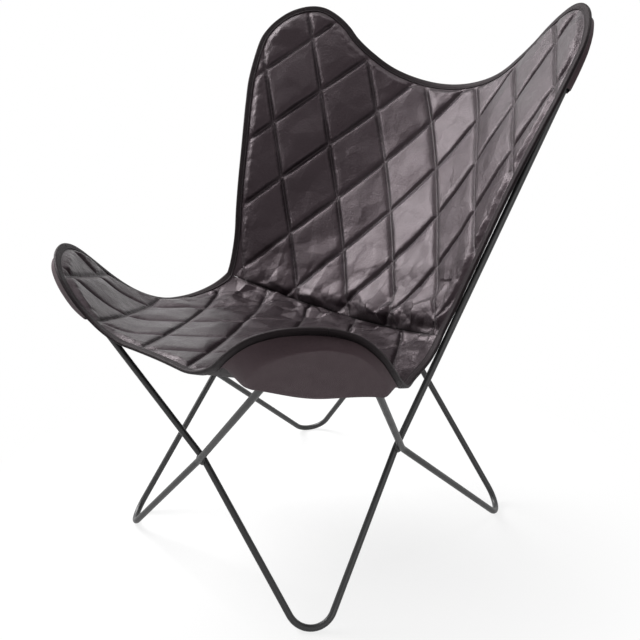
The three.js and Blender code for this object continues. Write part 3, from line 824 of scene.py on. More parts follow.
@dataclass(frozen=True)
class ClothFinish:
    """A plain woven backing cloth."""

    name: str
    thread: Tint
    gap: Tint
    pitch: float

    def material(self) -> bpy.types.Material:
        """The cloth's material: two crossing rows of threads."""
        made, sheet, shader = new_material(self.name)
        place = sheet.add("ShaderNodeTexCoord").outputs["UV"]
        rows = []
        for way in ("X", "Y"):
            wave = sheet.add(
                "ShaderNodeTexWave", {"bands_direction": way},
                Vector=place, Scale=1 / self.pitch, Distortion=0.4,
            )
            rows.append(wave.outputs["Fac"])
        weave = sheet.maths("MAXIMUM", rows[0], rows[1])
        links = made.node_tree.links
        links.new(sheet.colours(weave, (*self.gap, 1.0), (*self.thread, 1.0)), shader.inputs["Base Color"])
        bump = sheet.add("ShaderNodeBump", None, Strength=0.5, Distance=0.0004, Height=weave)
        links.new(bump.outputs["Normal"], shader.inputs["Normal"])
        shader.inputs["Roughness"].default_value = 0.88
        return made


@dataclass
class Finishes:
    """Every material of the chair, by slot."""

    strip_width: float
    made: dict[Slot, bpy.types.Material] = field(default_factory=dict)

    def build(self) -> None:
        """Makes the shared groups and the materials."""
        shared = (leather_grain(), quilt_lines(), stitch_rows(), coat_speckle())
        groups = {group.name: group for group in shared}
        leathers = {
            Slot.QUILT: LeatherFinish(
                "quilted_leather", deep=(0.0054, 0.0033, 0.0042), light=(0.0116, 0.0073, 0.0091),
                roughness=(0.24, 0.50), shine=0.32, coat=0.03,
                pores=700.0, patches=24.0, grain_height=0.00015, trim=Trim.QUILTED,
            ),
            Slot.BINDING: LeatherFinish(
                "binding_leather", deep=(0.005, 0.0040, 0.0043), light=(0.010, 0.0081, 0.0086),
                roughness=(0.50, 0.62), shine=0.12, coat=0.0,
                pores=800.0, patches=60.0, grain_height=0.0001, trim=Trim.EDGED, strip_width=self.strip_width,
            ),
            Slot.POCKET: LeatherFinish(
                "pocket_leather", deep=(0.0365, 0.0245, 0.0275), light=(0.0430, 0.0290, 0.0323),
                roughness=(0.62, 0.72), shine=0.25, coat=0.0,
                pores=900.0, patches=40.0, grain_height=0.00008,
            ),
        }
        for slot, leather in leathers.items():
            self.made[slot] = leather.material(groups)
        rod = CoatFinish("rod_black", (0.007, 0.007, 0.0075), (0.012, 0.012, 0.0125), 0.40, 0.12)
        weld = CoatFinish("weld_black", (0.007, 0.007, 0.0075), (0.011, 0.011, 0.0115), 0.45, 0.4)
        self.made[Slot.ROD] = rod.material(groups["coat_speckle"])
        self.made[Slot.WELD] = weld.material(groups["coat_speckle"])
        cloth = ClothFinish("backing_cloth", (0.032, 0.028, 0.029), (0.012, 0.010, 0.011), 0.0011)
        self.made[Slot.BACKING] = cloth.material()


# The sling


@dataclass(frozen=True)
class Layers:
    """The sling's layers, measured down from the surface that it hangs in."""

    stitch_level: float = -0.0024
    leather: float = 0.0016
    gap: float = 0.0003
    lining: float = 0.001
    binding: float = 0.0012
    binding_width: float = 0.0095
    pocket: float = 0.0015

    @property
    def lining_top(self) -> float:
        """The upper face of the backing cloth."""
        return self.stitch_level - self.leather - self.gap

    @property
    def lining_bottom(self) -> float:
        """The lower face of the backing cloth."""
        return self.lining_top - self.lining

    @property
    def fold(self) -> Pair:
        """The middle and half the height of the folded binding."""
        top = self.stitch_level + self.gap + self.binding / 2
        low = self.lining_bottom - self.gap - self.binding / 2
        return (top + low) / 2, (top - low) / 2

    @property
    def pocket_rim(self) -> float:
        """The middle of the pocket's leather where it is sewn on under the binding."""
        middle, tall = self.fold
        return middle - tall - self.binding / 2 - self.gap - self.pocket / 2

    @property
    def strip_width(self) -> float:
        """The width that the binding is cut to."""
        return 2 * self.binding_width + math.pi * self.fold[1]

    def binding_section(self, v: Array) -> tuple[Array, Array]:
        """Places across the folded binding: out of the edge, and height over the sling."""
        wide = self.binding_width
        middle, tall = self.fold
        along = v * self.strip_width
        angle = np.clip((along - wide) / (math.pi * tall), 0, 1) * math.pi
        inside = np.minimum(np.minimum(along, self.strip_width - along) - wide, 0.0)
        return inside + 0.85 * tall * np.sin(angle), middle + tall * np.cos(angle)


@dataclass(frozen=True)
class PocketCut:
    """How far a pocket runs along the edge and how its wall leans in, on each side of the wing's tip."""

    reach: Pair
    wall: Pair
    wall_ease: float
    rod_exit: Pair
    end_depth: float


@dataclass
class Sling:
    """The leather sling: two quilted panels, their backing, the waist tape, the binding and the pockets."""

    form: SlingForm
    layers: Layers
    finishes: Finishes
    pad_height: float = 0.0018
    puff: float = 0.0030
    fit_gap: float = 0.0003
    quiet_margin: float = 0.015
    seam_shade: float = 0.006
    line_width: float = 0.0048
    line_power: float = 1.3
    clear_width: float = 0.009
    cell_tilt: float = 0.0036
    dimple_height: float = 0.0005
    facet_height: float = 0.0020
    waist_slack: Pair = (0.0105, 0.0075)
    waist_roll: float = 0.0125
    waist_fade: Pair = (0.060, 0.080)
    rim_crinkle: float = 0.0022
    net_rim: float = 0.004
    settle_reach: float = 0.0011
    end_slant: float = 0.14
    mouth_bow: Pair = (0.72, 1.06)
    wall_run: float = 1.15
    pocket_fill: float = 1.5
    arm_tip_drop: float = 0.0195
    back_tip_drop: float = 0.017
    tip_inset: float = 0.018
    wall_gap: float = 0.0092
    rim_inset: float = 0.0075
    mouth_end: float = 0.016
    rod_radius: float = 0.0055
    tape_reach: float = 0.013
    tape_end_gap: float = 0.020
    arm_pocket: PocketCut = PocketCut((0.187, 0.195), (0.027, 0.064), 1.4, (0.86, 0.66), 0.0)
    back_pocket: PocketCut = PocketCut((0.186, 0.190), (0.020, 0.054), 4.0, (0.93, 0.74), 0.85)
    back_half_edge: tuple[Pair, ...] = (
        (0.266, 0.0), (0.270, 0.025), (0.283, 0.075), (0.301, 0.125), (0.318, 0.175), (0.336, 0.230),
        (0.353, 0.280), (0.370, 0.330), (0.386, 0.383), (0.397, 0.455), (0.393, 0.490), (0.380, 0.520),
        (0.361, 0.545), (0.333, 0.565), (0.304, 0.572), (0.272, 0.566), (0.243, 0.553), (0.215, 0.535),
        (0.176, 0.518), (0.123, 0.502), (0.060, 0.493), (0.0, 0.490),
    )
    back_tip_point: Pair = (0.344, 0.559)
    seat_half_edge: tuple[Pair, ...] = (
        (0.267, -0.038), (0.284, -0.099), (0.310, -0.152), (0.340, -0.211), (0.358, -0.257), (0.362, -0.299),
        (0.350, -0.331), (0.326, -0.357), (0.290, -0.380), (0.247, -0.392), (0.199, -0.388), (0.144, -0.373),
        (0.074, -0.362), (0.0, -0.358),
    )
    seat_tip_point: Pair = (0.342, -0.341)
    back_cell: Pair = (0.0605, 0.0965)
    back_cell_start: Pair = (0.0, 0.407)
    seat_cell: Pair = (0.055, 0.088)
    seat_cell_start: Pair = (0.019, -0.271)

    def __post_init__(self) -> None:
        """Cuts the two leather pieces."""
        waist = self.back_half_edge[0][0]
        waist_end = self.form.back(np.array([waist]), np.zeros(1))[0]
        corner = (float(waist_end[0]), float(waist_end[1]) - self.fit_gap)

        def back_seam(part: Array) -> Array:
            """Flat points of the seam on the back."""
            return np.stack([part * waist, np.zeros_like(part)], axis=-1)

        def seat_seam(part: Array) -> Array:
            """Flat points of the seam on the seat."""
            x = part * corner[0]
            return np.stack([x, self.form.seam(x)[:, 1] - self.fit_gap], axis=-1)

        self.back = LeatherCut(
            "back", self.form.back, list(self.back_half_edge), self.back_tip_point,
            self.back_cell, self.back_cell_start, back_seam, 1, 1.0,
        )
        self.seat = LeatherCut(
            "seat", self.form.seat, [corner, *self.seat_half_edge], self.seat_tip_point,
            self.seat_cell, self.seat_cell_start, seat_seam, -1, 0.55,
        )

    def sunk(self, away: Array, width: float) -> Array:
        """How much of a stitched line's dip is left at a distance from it, from 1 to 0."""
        return np.exp(-((away / width) ** self.line_power))

    def quilt_height(self, cut: LeatherCut, flat: Array, free: Array, noise: LeatherNoise) -> Array:
        """Heights of the quilted face over the sling.

        Args:
            cut: The leather piece.
            flat: Flat points.
            free: How far each point is clear of the bound edge, from 0 to 1.
            noise: Bumps for puckers, folds and the cells' own tilts.

        Returns:
            One height for each point.
        """
        first, second = (np.abs(line) for line in cut.lines(flat))
        counted = cut.cells(flat)
        dip = 1 - self.sunk(first, self.line_width)
        dip = dip * (1 - cut.second_line * self.sunk(second, self.line_width))
        inner = 2 * np.abs(counted - np.round(counted))
        dome = (1 - (1 - inner[:, 0]) ** 2) * (1 - (1 - inner[:, 1]) ** 2)
        part = counted - np.floor(counted) - 0.5
        index = np.floor(counted).astype(int) % noise.count
        tilt = part[:, 0] * noise.heights[index[:, 0], index[:, 1]]
        tilt = tilt + part[:, 1] * noise.heights[index[:, 1], index[:, 0]]
        clear = (1 - self.sunk(first, self.clear_width)) * (1 - self.sunk(second, self.clear_width))
        s, t = flat[:, 0], flat[:, 1]
        dimple = noise.at(s, t, (0.036, 0.043), (31, 17)) + 0.4 * noise.at(s, t, (0.015, 0.017), (7, 3))
        facets = noise.crumple(s, t, (0.060, 0.052), (3, 8))
        facets = facets - noise.crumple(s, t, (0.048, 0.055), (37, 51))
        loose = self.cell_tilt * tilt + self.dimple_height * dimple + self.facet_height * facets
        pad = self.pad_height - self.layers.stitch_level
        return self.layers.stitch_level + free * (pad * dip + self.puff * dome + clear * loose)

    def from_seam(self, cut: LeatherCut, flat: Array) -> Array:
        """How far flat points lie from the waist seam."""
        seam_t = self.form.seam(np.clip(flat[:, 0], -0.3, 0.3))[:, 1] if cut.side < 0 else 0.0
        return np.abs(flat[:, 1] - seam_t)

    def creases(self, cut: LeatherCut, flat: Array, from_edge: Array, noise: LeatherNoise) -> Array:
        """Heights of the creases that gather towards the waist seam and the bound edge."""
        s = flat[:, 0]
        away = self.from_seam(cut, flat)
        crease = noise.crumple(s, away, (0.050, 0.046), (5, 9))
        crease = crease - noise.crumple(s, away, (0.042, 0.050), (25, 19))
        crease = crease + 0.3 * noise.crumple(s, away, (0.021, 0.023), (65, 71))
        fade = self.waist_fade[0] if cut.side > 0 else self.waist_fade[1]
        loose = self.waist_slack[0] + self.waist_slack[1] * smooth((cut.side * s + 0.05) / 0.15)
        waist = loose * crease * np.exp(-away / fade) * smooth(away / 0.014)
        if cut.side > 0:
            roll = self.waist_roll * smooth((s + 0.16) / 0.2) * smooth(away / 0.030)
            waist = waist + roll * np.exp(-away / fade)
        crinkle = noise.crumple(s, flat[:, 1], (0.013, 0.013), (40, 60))
        rim = self.rim_crinkle * crinkle * np.exp(-(((from_edge - 0.019) / 0.009) ** 2))
        return (waist + rim) * smooth((from_edge - 0.008) / 0.012)

    def panel(self, cut: LeatherCut, columns: int, rows: int, seed: int) -> bpy.types.Object:
        """The quilted leather of one cut.

        Args:
            cut: The leather piece.
            columns: Faces across.
            rows: Faces along.
            seed: The seed of its puckers and creases.

        Returns:
            The piece.
        """
        noise = LeatherNoise(seed)

        def shape(w: Array, v: Array) -> tuple[Array, dict[str, Array]]:
            """Points and maps of the quilted face."""
            flat = cut.flat_at(w, v)
            rim = self.net_rim
            inside = (w > rim) & (w < 1 - rim) & (v > rim) & (v < 1 - rim)
            flat = np.where(inside[:, None], cut.settled(flat, self.settle_reach), flat)
            from_edge = cut.from_edge(flat)
            free = smooth(from_edge / self.quiet_margin - 0.5)
            # seam is 1 at the waist seam and fades away from it: it flattens the quilting there, and the
            # material paints shade along the seam with it
            seam = np.exp(-self.from_seam(cut, flat) / self.seam_shade)
            height = self.quilt_height(cut, flat, free * (1 - seam), noise)
            height = np.maximum(height + self.creases(cut, flat, from_edge, noise), self.layers.stitch_level)
            second = np.full(len(flat), cut.second_line)
            maps = {"cut": flat, "quilt": cut.cells(flat), "free": free, "seam": seam, "second_line": second}
            return cut.raised(flat, height), maps

        name = f"{cut.name}_quilted_leather"
        mesh = hung_net(name, columns, rows, shape)
        piece = into_scene(name, mesh, self.finishes.made[Slot.QUILT])
        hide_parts(f"quilted_{cut.name}_panel")
        return piece

    def backing(self, cut: LeatherCut) -> bpy.types.Object:
        """The plain cloth behind one cut."""

        def shape(w: Array, v: Array) -> tuple[Array, dict[str, Array]]:
            """Points and flat coordinates of the cloth's face."""
            flat = cut.flat_at(w, v)
            return cut.raised(flat, self.layers.lining_top), {"cut": flat}

        mesh = hung_net(f"{cut.name}_backing", 110, 80, shape)
        piece = into_scene(f"{cut.name}_backing", mesh, self.finishes.made[Slot.BACKING])
        thicken(piece, self.layers.lining)
        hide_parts(f"{cut.name}_lining")
        return piece

    def binding(
        self, name: str, runs: Sequence[tuple[LeatherCut, float, float]], columns: int
    ) -> bpy.types.Object:
        """One strip of binding, folded over parts of the edge.

        Args:
            name: The strip's name, which starts its CAD node's name too.
            runs: The cut and the parts of its edge that the strip follows, in turn.
            columns: Faces along.

        Returns:
            The piece.
        """
        lengths = [abs(to - start) * cut.edge.length for cut, start, to in runs]
        total = sum(lengths)
        wide = self.layers.strip_width

        def shape(w: Array, v: Array) -> tuple[Array, dict[str, Array]]:
            """Points of the folded strip, and its own length and width as flat coordinates."""
            out, height = self.layers.binding_section(v)
            points = np.zeros((len(w), 3))
            begun = 0.0
            for (cut, start, to), length in zip(runs, lengths):
                share = (w * total - begun) / length
                mine = (share >= -1e-9) & (share <= 1 + 1e-9)
                u = mix(start, to, np.clip(share[mine], 0, 1))
                points[mine] = cut.raised(cut.edge_point(u, out[mine]), height[mine])
                begun += length
            return points, {"cut": np.stack([w * total, v * wide], axis=-1)}

        mesh = hung_net(f"{name}_binding", columns, 28, shape)
        bm = bmesh.new()
        bm.from_mesh(mesh)
        bmesh.ops.recalc_face_normals(bm, faces=bm.faces)
        bm.to_mesh(mesh)
        bm.free()
        piece = into_scene(f"{name}_binding", mesh, self.finishes.made[Slot.BINDING])
        thicken(piece, self.layers.binding, 0.0)
        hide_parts(f"{name}_edge_binding")
        return piece

    def pocket(
        self, cut: LeatherCut, left: bool, sizes: PocketCut, plane: tuple[Vector, Vector]
    ) -> bpy.types.Object:
        """One corner pocket, from its sewn rim to its open mouth behind the bow.

        Args:
            cut: The leather piece that it hangs on.
            left: Whether it is on the sitter's left.
            sizes: Its reach and its wall.
            plane: A point and the normal of the bow's plane.

        Returns:
            The piece.
        """
        rim = self.layers.pocket_rim
        behind_rod = self.rod_radius + 2 * self.fit_gap + self.layers.pocket / 2
        tip_point = np.array(plane[0])
        way = np.array(plane[1])
        whole = sum(sizes.reach)

        def seat_at(part: Array) -> Array:
            """The part of the edge's length at a part of the pocket's."""
            u = cut.tip + mix(-sizes.reach[0], sizes.reach[1], part) / cut.edge.length
            return u if left else 1 - u

        ends = cut.edge_point(seat_at(np.array([0.0, 1.0])), -self.mouth_end)

        def shape(w: Array, v: Array) -> tuple[Array, dict[str, Array]]:
            """Points and flat coordinates of the pocket's leather."""
            w = 0.5 + (w - 0.5) * (1 - self.end_slant * v**0.6)
            edge = cut.edge.at(seat_at(w))
            mouth = mix(ends[0], ends[1], w[:, None])
            mouth = mix(edge, mouth, mix(*self.mouth_bow, np.sin(math.pi * w) ** 0.8)[:, None])
            span = np.linalg.norm(mouth - edge, axis=1)
            distance = mix(self.rim_inset, span, v**1.8)
            flat = edge + (mouth - edge) * (distance / span)[:, None]
            normal = cut.normal(flat[:, 0], flat[:, 1])
            surface = cut.place(flat[:, 0], flat[:, 1])
            facing = normal @ way
            to_rod = ((surface - tip_point) @ way) / facing
            deep = np.maximum(to_rod + behind_rod / np.abs(facing), -rim)
            place = mix(-sizes.reach[0], sizes.reach[1], w)
            inward = (place >= 0).astype(int)
            off = np.abs(place) / np.array(sizes.reach)[inward]
            foot = mix(self.tip_inset - self.wall_gap, np.array(sizes.wall)[inward], off**sizes.wall_ease)
            leaves = np.array(sizes.rod_exit)[inward]
            rise = np.clip((off - leaves) / (1 - leaves), 0, 1)
            depth = mix(1.0, sizes.end_depth, rise**1.5)
            run = np.clip((distance - self.rim_inset) / (self.wall_run * (foot - self.rim_inset)), 0, 1)
            height = mix(rim, -deep, depth * (1 - (1 - run) ** 1.7))
            cut_map = np.stack([w * whole, distance - self.rim_inset], axis=-1)
            return surface + normal * height[:, None] + FRAME_SHIFT, {"cut": cut_map}

        hand = "left" if left else "right"
        limb = "back" if cut.side > 0 else "arm"
        name = f"{hand}_{limb}_pocket"
        mesh = hung_net(f"{name}_leather", 120, 48, shape)
        piece = into_scene(f"{name}_leather", mesh, self.finishes.made[Slot.POCKET])
        thicken(piece, self.layers.pocket, 0.0)
        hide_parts(name)
        return piece

    def waist_tape(self) -> bpy.types.Object:
        """The tape that covers the waist seam from below."""
        half = self.back_half_edge[0][0] - self.tape_end_gap
        top = self.layers.lining_bottom - 2 * self.fit_gap
        wide = self.tape_reach

        def shape(w: Array, v: Array) -> tuple[Array, dict[str, Array]]:
            """Points and flat coordinates of the tape."""
            s = mix(-half, half, w)
            x = self.form.back(s, np.zeros_like(s))[:, 0]
            seam_y = self.form.seam(x)[:, 1] - self.fit_gap
            part = 2 * v - 1
            on_back = self.back.raised(np.stack([s, np.maximum(part, 0) * wide], axis=-1), top)
            on_seat = self.seat.raised(np.stack([x, seam_y + np.minimum(part, 0) * wide], axis=-1), top)
            blend = smooth(part * 2.5 + 0.5)[:, None]
            return mix(on_seat, on_back, blend), {"cut": np.stack([s, part * wide], axis=-1)}

        mesh = hung_net("waist_tape", 120, 12, shape)
        piece = into_scene("waist_tape", mesh, self.finishes.made[Slot.BACKING])
        thicken(piece, self.layers.lining)
        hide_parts("waist_seam_tape")
        return piece

    def tip(self, cut: LeatherCut, drop: float) -> Vector:
        """Where the middle of a bow's rod lies under a wing's tip, from the frame's own middle."""
        flat = cut.edge_point(np.array([cut.tip]), -self.tip_inset)
        return Vector(cut.raised(flat, -drop)[0] - FRAME_SHIFT)

    def build(self, planes: dict[str, tuple[Vector, Vector]]) -> None:
        """Makes every soft piece.

        Args:
            planes: A point and the normal of each bow's plane, by the pocket's name.
        """
        back, seat = self.back, self.seat
        for cut, columns, rows, seed, limb in ((back, 380, 260, 11, "back"), (seat, 380, 250, 23, "arm")):
            for piece in (self.panel(cut, columns, rows, seed), self.backing(cut)):
                cut.size()
                cut.area()
        self.waist_tape()
        self.binding("top", [(back, back.tip, 1 - back.tip)], 420)
        self.binding("front", [(seat, seat.tip, 1 - seat.tip)], 400)
        self.binding("left", [(back, back.tip, 0.0), (seat, 0.0, seat.tip)], 420)
        self.binding("right", [(back, 1 - back.tip, 1.0), (seat, 1.0, 1 - seat.tip)], 420)
        for hand in ("left", "right"):
            self.pocket(seat, hand == "left", self.arm_pocket, planes[f"{hand}_arm"])
            self.pocket(back, hand == "left", self.back_pocket, planes[f"{hand}_back"])


# The rod frame


@dataclass
class RodFrame:
    """Two bent rod loops that cross and are welded at four places, in eight bows."""

    finishes: Finishes
    arm_tip: Vector
    back_tip: Vector
    rod_radius: float = 0.0055
    fit_gap: float = 0.0003
    foot_bend: float = 0.038
    arm_bend: float = 0.056
    back_bend: float = 0.078
    crossing_bend: float = 0.040
    foot_flat: float = 0.0005
    front_foot: Pair = (0.231, -0.264)
    rear_foot: Pair = (0.245, 0.232)
    front_crossing: tuple[float, float, float] = (0.0, -0.283, 0.219)
    rear_crossing: tuple[float, float, float] = (0.0, 0.228, 0.316)
    side_crossing: tuple[float, float, float] = (0.231, -0.059, 0.239)
    weld_reach: float = 0.0095
    weld_depth: float = 0.0045
    weld_ripple: float = 0.05
    weld_lobes: int = 9
    ring_sides: int = 24
    kink_steps: int = 4
    tip_steps: int = 24

    def __post_init__(self) -> None:
        """Lays out both loops."""
        level = self.rod_radius - self.foot_flat
        flip = Vector((-1, 1, 1))
        side = Vector(self.side_crossing)
        rear_foot = Vector((*self.rear_foot, level))
        first = [
            ("right_arm_bow", self.arm_tip * flip, self.arm_bend, "front", Vector(self.front_crossing)),
            ("front_left_leg_bow", Vector((*self.front_foot, level)), self.foot_bend, "left", side),
            ("left_back_bow", self.back_tip.copy(), self.back_bend, "rear", Vector(self.rear_crossing)),
            ("rear_right_leg_bow", rear_foot * flip, self.foot_bend, "right", side * flip),
        ]
        second = [
            (self.other_hand(name), tip * flip, bend, self.other_hand(where), place * flip)
            for name, tip, bend, where, place in first
        ]
        self.loops = [
            (first, self.crossings(first, second, ("right", "rear"))),
            (second, self.crossings(second, first, ("front", "left"))),
        ]

    @staticmethod
    def other_hand(name: str) -> str:
        """The name of the mirrored piece."""
        if "left" in name:
            return name.replace("left", "right")
        return name.replace("right", "left")

    @staticmethod
    def heading(plan: list, index: int) -> Vector:
        """The direction in which a loop passes a crossing."""
        before = plan[index][1]
        after = plan[(index + 1) % len(plan)][1]
        here = plan[index][4]
        return ((here - before).normalized() + (after - here).normalized()).normalized()

    def crossings(self, plan: list, other: list, outer: tuple[str, ...]) -> list[Vector]:
        """The middle of the rod at each crossing, where the loops lie side by side.

        Args:
            plan: The loop's bows in turn.
            other: The other loop's bows.
            outer: The crossings at which this loop is the outer one.

        Returns:
            One point for each crossing.
        """
        found = []
        for index, entry in enumerate(plan):
            partner = next(k for k, row in enumerate(other) if row[3] == entry[3])
            normal = self.heading(plan, index).cross(self.heading(other, partner)).normalized()
            centre = entry[4]
            sign = math.copysign(1.0, normal.dot(Vector((centre.x, centre.y, 0.0))))
            sign = sign if entry[3] in outer else -sign
            found.append(centre + normal * sign * (2 * self.rod_radius + self.fit_gap) / 2)
        return found

    @staticmethod
    def corner_for(tip: Vector, before: Vector, after: Vector, bend: float) -> Vector:
        """The sharp corner whose rounded bend touches a tip."""
        corner = tip.copy()
        for _ in range(20):
            first = (before - corner).normalized()
            second = (after - corner).normalized()
            half = first.angle(second) / 2
            corner = tip - (first + second).normalized() * bend * (1 / math.sin(half) - 1)
        return corner

    @staticmethod
    def bend_at(
        before: Vector, corner: Vector, after: Vector, bend: float
    ) -> tuple[Vector, Vector, Vector, float]:
        """A rounded corner: where it starts, its centre, its axis and its angle."""
        first = (before - corner).normalized()
        second = (after - corner).normalized()
        half = first.angle(second) / 2
        centre = corner + (first + second).normalized() * bend / math.sin(half)
        start = corner + first * bend / math.tan(half)
        return start, centre, second.cross(first).normalized(), math.pi - 2 * half

    def plane_of(self, name: str) -> tuple[Vector, Vector]:
        """A point and the normal of a bow's plane, from the frame's own middle."""
        for plan, crossings in self.loops:
            for index, (bow, tip, *_rest) in enumerate(plan):
                if bow == name:
                    normal = (crossings[index - 1] - tip).cross(crossings[index] - tip).normalized()
                    return tip, normal
        raise KeyError(name)

    def bow(self, plan: list, crossings: list[Vector], index: int) -> bpy.types.Object:
        """One bow from crossing to crossing.

        Args:
            plan: The loop's bows in turn.
            crossings: The rod's middle at each crossing.
            index: Which bow of the loop.

        Returns:
            The piece.
        """
        count = len(plan)
        name = plan[index][0]
        corners = [
            self.corner_for(plan[k][1], crossings[k - 1], crossings[k], plan[k][2]) for k in range(count)
        ]
        after = (index + 1) % count
        came_by = crossings[index - 1]
        start_kink = self.bend_at(corners[index - 1], came_by, corners[index], self.crossing_bend)
        tip_bend = self.bend_at(came_by, corners[index], crossings[index], plan[index][2])
        end_kink = self.bend_at(corners[index], crossings[index], corners[after], self.crossing_bend)
        bm = bmesh.new()
        begin, centre, axis, angle = start_kink
        middle = centre + Matrix.Rotation(angle / 2, 3, axis) @ (begin - centre)
        heading = axis.cross(middle - centre).normalized()
        frame_turn = heading.to_track_quat("Z", "Y").to_matrix().to_4x4()
        bmesh.ops.create_circle(
            bm, cap_ends=True, segments=self.ring_sides, radius=self.rod_radius,
            matrix=Matrix.Translation(middle) @ frame_turn,
        )
        face = bm.faces[:]
        face = self.turned(bm, face, centre, axis, angle / 2, self.kink_steps)
        face = self.drawn(bm, face, tip_bend[0])
        face = self.turned(bm, face, tip_bend[1], tip_bend[2], tip_bend[3], self.tip_steps)
        face = self.drawn(bm, face, end_kink[0])
        self.turned(bm, face, end_kink[1], end_kink[2], end_kink[3] / 2, self.kink_steps)
        bmesh.ops.translate(bm, verts=bm.verts, vec=Vector(FRAME_SHIFT))
        if "leg" in name:
            cut = bmesh.ops.bisect_plane(
                bm, geom=bm.verts[:] + bm.edges[:] + bm.faces[:], plane_co=(0, 0, 0), plane_no=(0, 0, 1),
                clear_inner=True,
            )
            rim = [part for part in cut["geom_cut"] if isinstance(part, bmesh.types.BMEdge)]
            bmesh.ops.holes_fill(bm, edges=rim)
        label = name.replace("_bow", "_rod")
        piece = into_scene(label, finished_mesh(name, bm), self.finishes.made[Slot.ROD])
        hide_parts(name)
        return piece

    @staticmethod
    def turned(
        bm: bmesh.types.BMesh, face: list, centre: Vector, axis: Vector, angle: float, steps: int
    ) -> list:
        """Bends the rod on from its end face round a centre, and gives the new end face."""
        made = bmesh.ops.spin(
            bm, geom=face, cent=centre, axis=axis, dvec=(0, 0, 0), angle=angle, steps=steps
        )
        return [part for part in made["geom_last"] if isinstance(part, bmesh.types.BMFace)]

    @staticmethod
    def drawn(bm: bmesh.types.BMesh, face: list, target: Vector) -> list:
        """Draws the rod on from its end face straight to a point, and gives the new end face."""
        middle = face[0].calc_center_median()
        made = bmesh.ops.extrude_face_region(bm, geom=face)["geom"]
        bmesh.ops.delete(bm, geom=face, context="FACES_ONLY")
        ends = [part for part in made if isinstance(part, bmesh.types.BMFace)]
        bmesh.ops.translate(bm, verts=ends[0].verts[:], vec=target - middle)
        return ends

    def weld(self, where: str) -> bpy.types.Object:
        """The bead that joins the loops at one crossing."""
        middles = []
        for plan, crossings in self.loops:
            index = next(k for k, row in enumerate(plan) if row[3] == where)
            middles.append(crossings[index])
        centre = (middles[0] + middles[1]) / 2 + Vector(FRAME_SHIFT)
        turn = (middles[1] - middles[0]).to_track_quat("Z", "Y").to_matrix().to_4x4()
        bm = bmesh.new()
        bmesh.ops.create_uvsphere(bm, u_segments=28, v_segments=16, radius=1.0)
        for corner in bm.verts:
            ripple = 1 + self.weld_ripple * math.sin(self.weld_lobes * math.atan2(corner.co.y, corner.co.x))
            corner.co.x *= self.weld_reach * ripple
            corner.co.y *= self.weld_reach * ripple
            corner.co.z *= self.weld_depth
        bmesh.ops.transform(bm, matrix=Matrix.Translation(centre) @ turn, verts=bm.verts)
        name = f"{where}_crossing_weld"
        label = f"{where}_weld_bead"
        piece = into_scene(label, finished_mesh(name, bm), self.finishes.made[Slot.WELD])
        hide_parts(name)
        return piece

    def build(self) -> None:
        """Makes the eight bows and the four welds."""
        for plan, crossings in self.loops:
            for index in range(len(plan)):
                self.bow(plan, crossings, index)
        for where in ("front", "rear", "left", "right"):
            self.weld(where)


# The studio


@dataclass(frozen=True)
class SoftBox:
    """One soft studio lamp."""

    name: str
    place: tuple[float, float, float]
    aim: tuple[float, float, float]
    size: float
    power: float

    def build(self) -> None:
        """Puts the lamp in the scene."""
        lamp = bpy.data.lights.new(self.name, "AREA")
        lamp.size = self.size
        lamp.energy = self.power
        holder = bpy.data.objects.new(self.name, lamp)
        holder.location = self.place
        holder.rotation_mode = "QUATERNION"
        holder.rotation_quaternion = (Vector(self.aim) - Vector(self.place)).to_track_quat("-Z", "Y")
        bpy.context.scene.collection.objects.link(holder)


def background_rays(sheet: NodeSheet) -> Socket:
    """A mask of the rays that show the white background: seen straight, mirrored or through glass."""
    path = sheet.add("ShaderNodeLightPath").outputs
    seen = sheet.maths("MAXIMUM", path["Is Camera Ray"], path["Is Glossy Ray"])
    return sheet.maths("MAXIMUM", seen, path["Is Transmission Ray"])


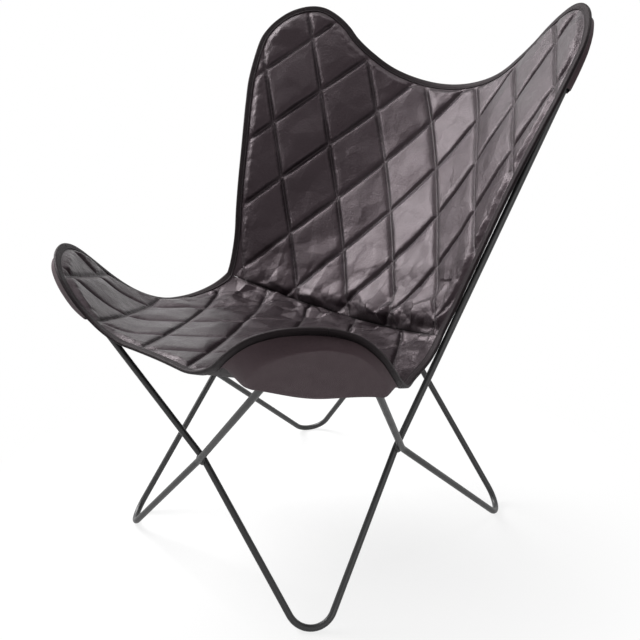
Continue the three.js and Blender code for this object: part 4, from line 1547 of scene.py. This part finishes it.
@dataclass
class Studio:
    """A pale floor, soft lamps and the camera at the photograph's angle."""

    eye: tuple[float, float, float] = (0.9867, -1.0456, 0.8960)
    right: tuple[float, float, float] = (0.7278, 0.6858, -0.0024)
    up: tuple[float, float, float] = (-0.2278, 0.2450, 0.9424)
    back: tuple[float, float, float] = (0.6469, -0.6853, 0.3345)
    lens: float = 48.14
    floor_half: float = 9.0
    floor_drop: float = 0.0004
    floor_tint: Tint = (0.92, 0.92, 0.92)
    shadow_reach: Pair = (0.2, 0.7)
    shadow_white: float = 0.75
    room_light: float = 0.18
    lamps: tuple[SoftBox, ...] = (
        SoftBox("key_lamp", (-2.5, -0.55, 2.4), (0.0, 0.1, 0.6), 1.6, 175.0),
        SoftBox("top_lamp", (0.2, 0.8, 3.2), (0.0, 0.0, 0.4), 1.4, 22.0),
        SoftBox("fill_lamp", (3.0, -1.4, 0.9), (0.0, 0.0, 0.4), 2.0, 22.0),
        SoftBox("back_lamp", (-2.2, 2.6, 1.1), (0.0, 0.0, 0.5), 2.6, 10.0),
        SoftBox("glint_lamp", (-1.5, 0.45, 3.05), (-0.2, 0.0, 0.4), 0.5, 22.0),
    )

    def camera(self) -> None:
        """Puts the camera where the photograph was taken from."""
        data = bpy.data.cameras.new("camera")
        data.sensor_width = 36.0
        data.lens = self.lens
        holder = bpy.data.objects.new("camera", data)
        turn = Matrix((self.right, self.up, self.back)).transposed()
        holder.rotation_mode = "QUATERNION"
        holder.rotation_quaternion = turn.to_quaternion()
        holder.location = Vector(self.eye) + Vector(FRAME_SHIFT)
        bpy.context.scene.collection.objects.link(holder)
        bpy.context.scene.camera = holder

    def floor(self) -> None:
        """Lays a pale floor that fades into the white backdrop."""
        bm = bmesh.new()
        bmesh.ops.create_grid(bm, x_segments=4, y_segments=4, size=self.floor_half)
        bmesh.ops.translate(bm, verts=bm.verts, vec=(0, 0, -self.floor_drop))
        mesh = bpy.data.meshes.new("floor")
        bm.to_mesh(mesh)
        bm.free()
        floor = bpy.data.objects.new("floor", mesh)
        bpy.context.scene.collection.objects.link(floor)
        made, sheet, shader = new_material("pale_floor")
        shader.inputs["Base Color"].default_value = (*self.floor_tint, 1.0)
        shader.inputs["Roughness"].default_value = 0.7
        shader.inputs["Specular IOR Level"].default_value = 0.2
        place = sheet.add("ShaderNodeTexCoord").outputs["Object"]
        away = sheet.add("ShaderNodeVectorMath", {"operation": "LENGTH"}, at0=place).outputs["Value"]
        fade = sheet.ranged(away, *self.shadow_reach, self.shadow_white, 1.0)
        seen = background_rays(sheet)
        white = sheet.add("ShaderNodeEmission", None, Color=(1.0, 1.0, 1.0, 1.0), Strength=1.0)
        blend = sheet.add("ShaderNodeMixShader", None, at0=sheet.times(fade, seen))
        links = made.node_tree.links
        links.new(shader.outputs["BSDF"], blend.inputs[1])
        links.new(white.outputs["Emission"], blend.inputs[2])
        links.new(blend.outputs["Shader"], made.node_tree.nodes["Material Output"].inputs["Surface"])
        mesh.materials.append(made)

    def world(self) -> None:
        """Lights the room evenly and shows white behind the chair."""
        world = bpy.data.worlds.new("white_room")
        world.use_nodes = True
        sheet = NodeSheet(world.node_tree)
        ground = world.node_tree.nodes["Background"]
        strength = sheet.ranged(background_rays(sheet), 0.0, 1.0, self.room_light, 1.0)
        world.node_tree.links.new(strength, ground.inputs["Strength"])
        ground.inputs["Color"].default_value = (1.0, 1.0, 1.0, 1.0)
        bpy.context.scene.world = world

    def build(self) -> None:
        """Makes the camera, the floor, the lamps and the world."""
        self.camera()
        self.floor()
        for lamp in self.lamps:
            lamp.build()
        self.world()
        bpy.context.scene.view_settings.view_transform = "Standard"


def main() -> None:
    """Builds the studio, the rod frame and the sling in order."""
    logging.basicConfig(level=logging.INFO, format="%(name)s: %(message)s")
    Studio().build()
    layers = Layers()
    finishes = Finishes(layers.strip_width)
    finishes.build()
    sling = Sling(SlingForm(), layers, finishes)
    rods = RodFrame(
        finishes, sling.tip(sling.seat, sling.arm_tip_drop), sling.tip(sling.back, sling.back_tip_drop)
    )
    rods.build()
    wings = [f"{hand}_{limb}" for hand in ("left", "right") for limb in ("arm", "back")]
    planes = {wing: rods.plane_of(f"{wing}_bow") for wing in wings}
    sling.build(planes)


if __name__ == "__main__":
    main()
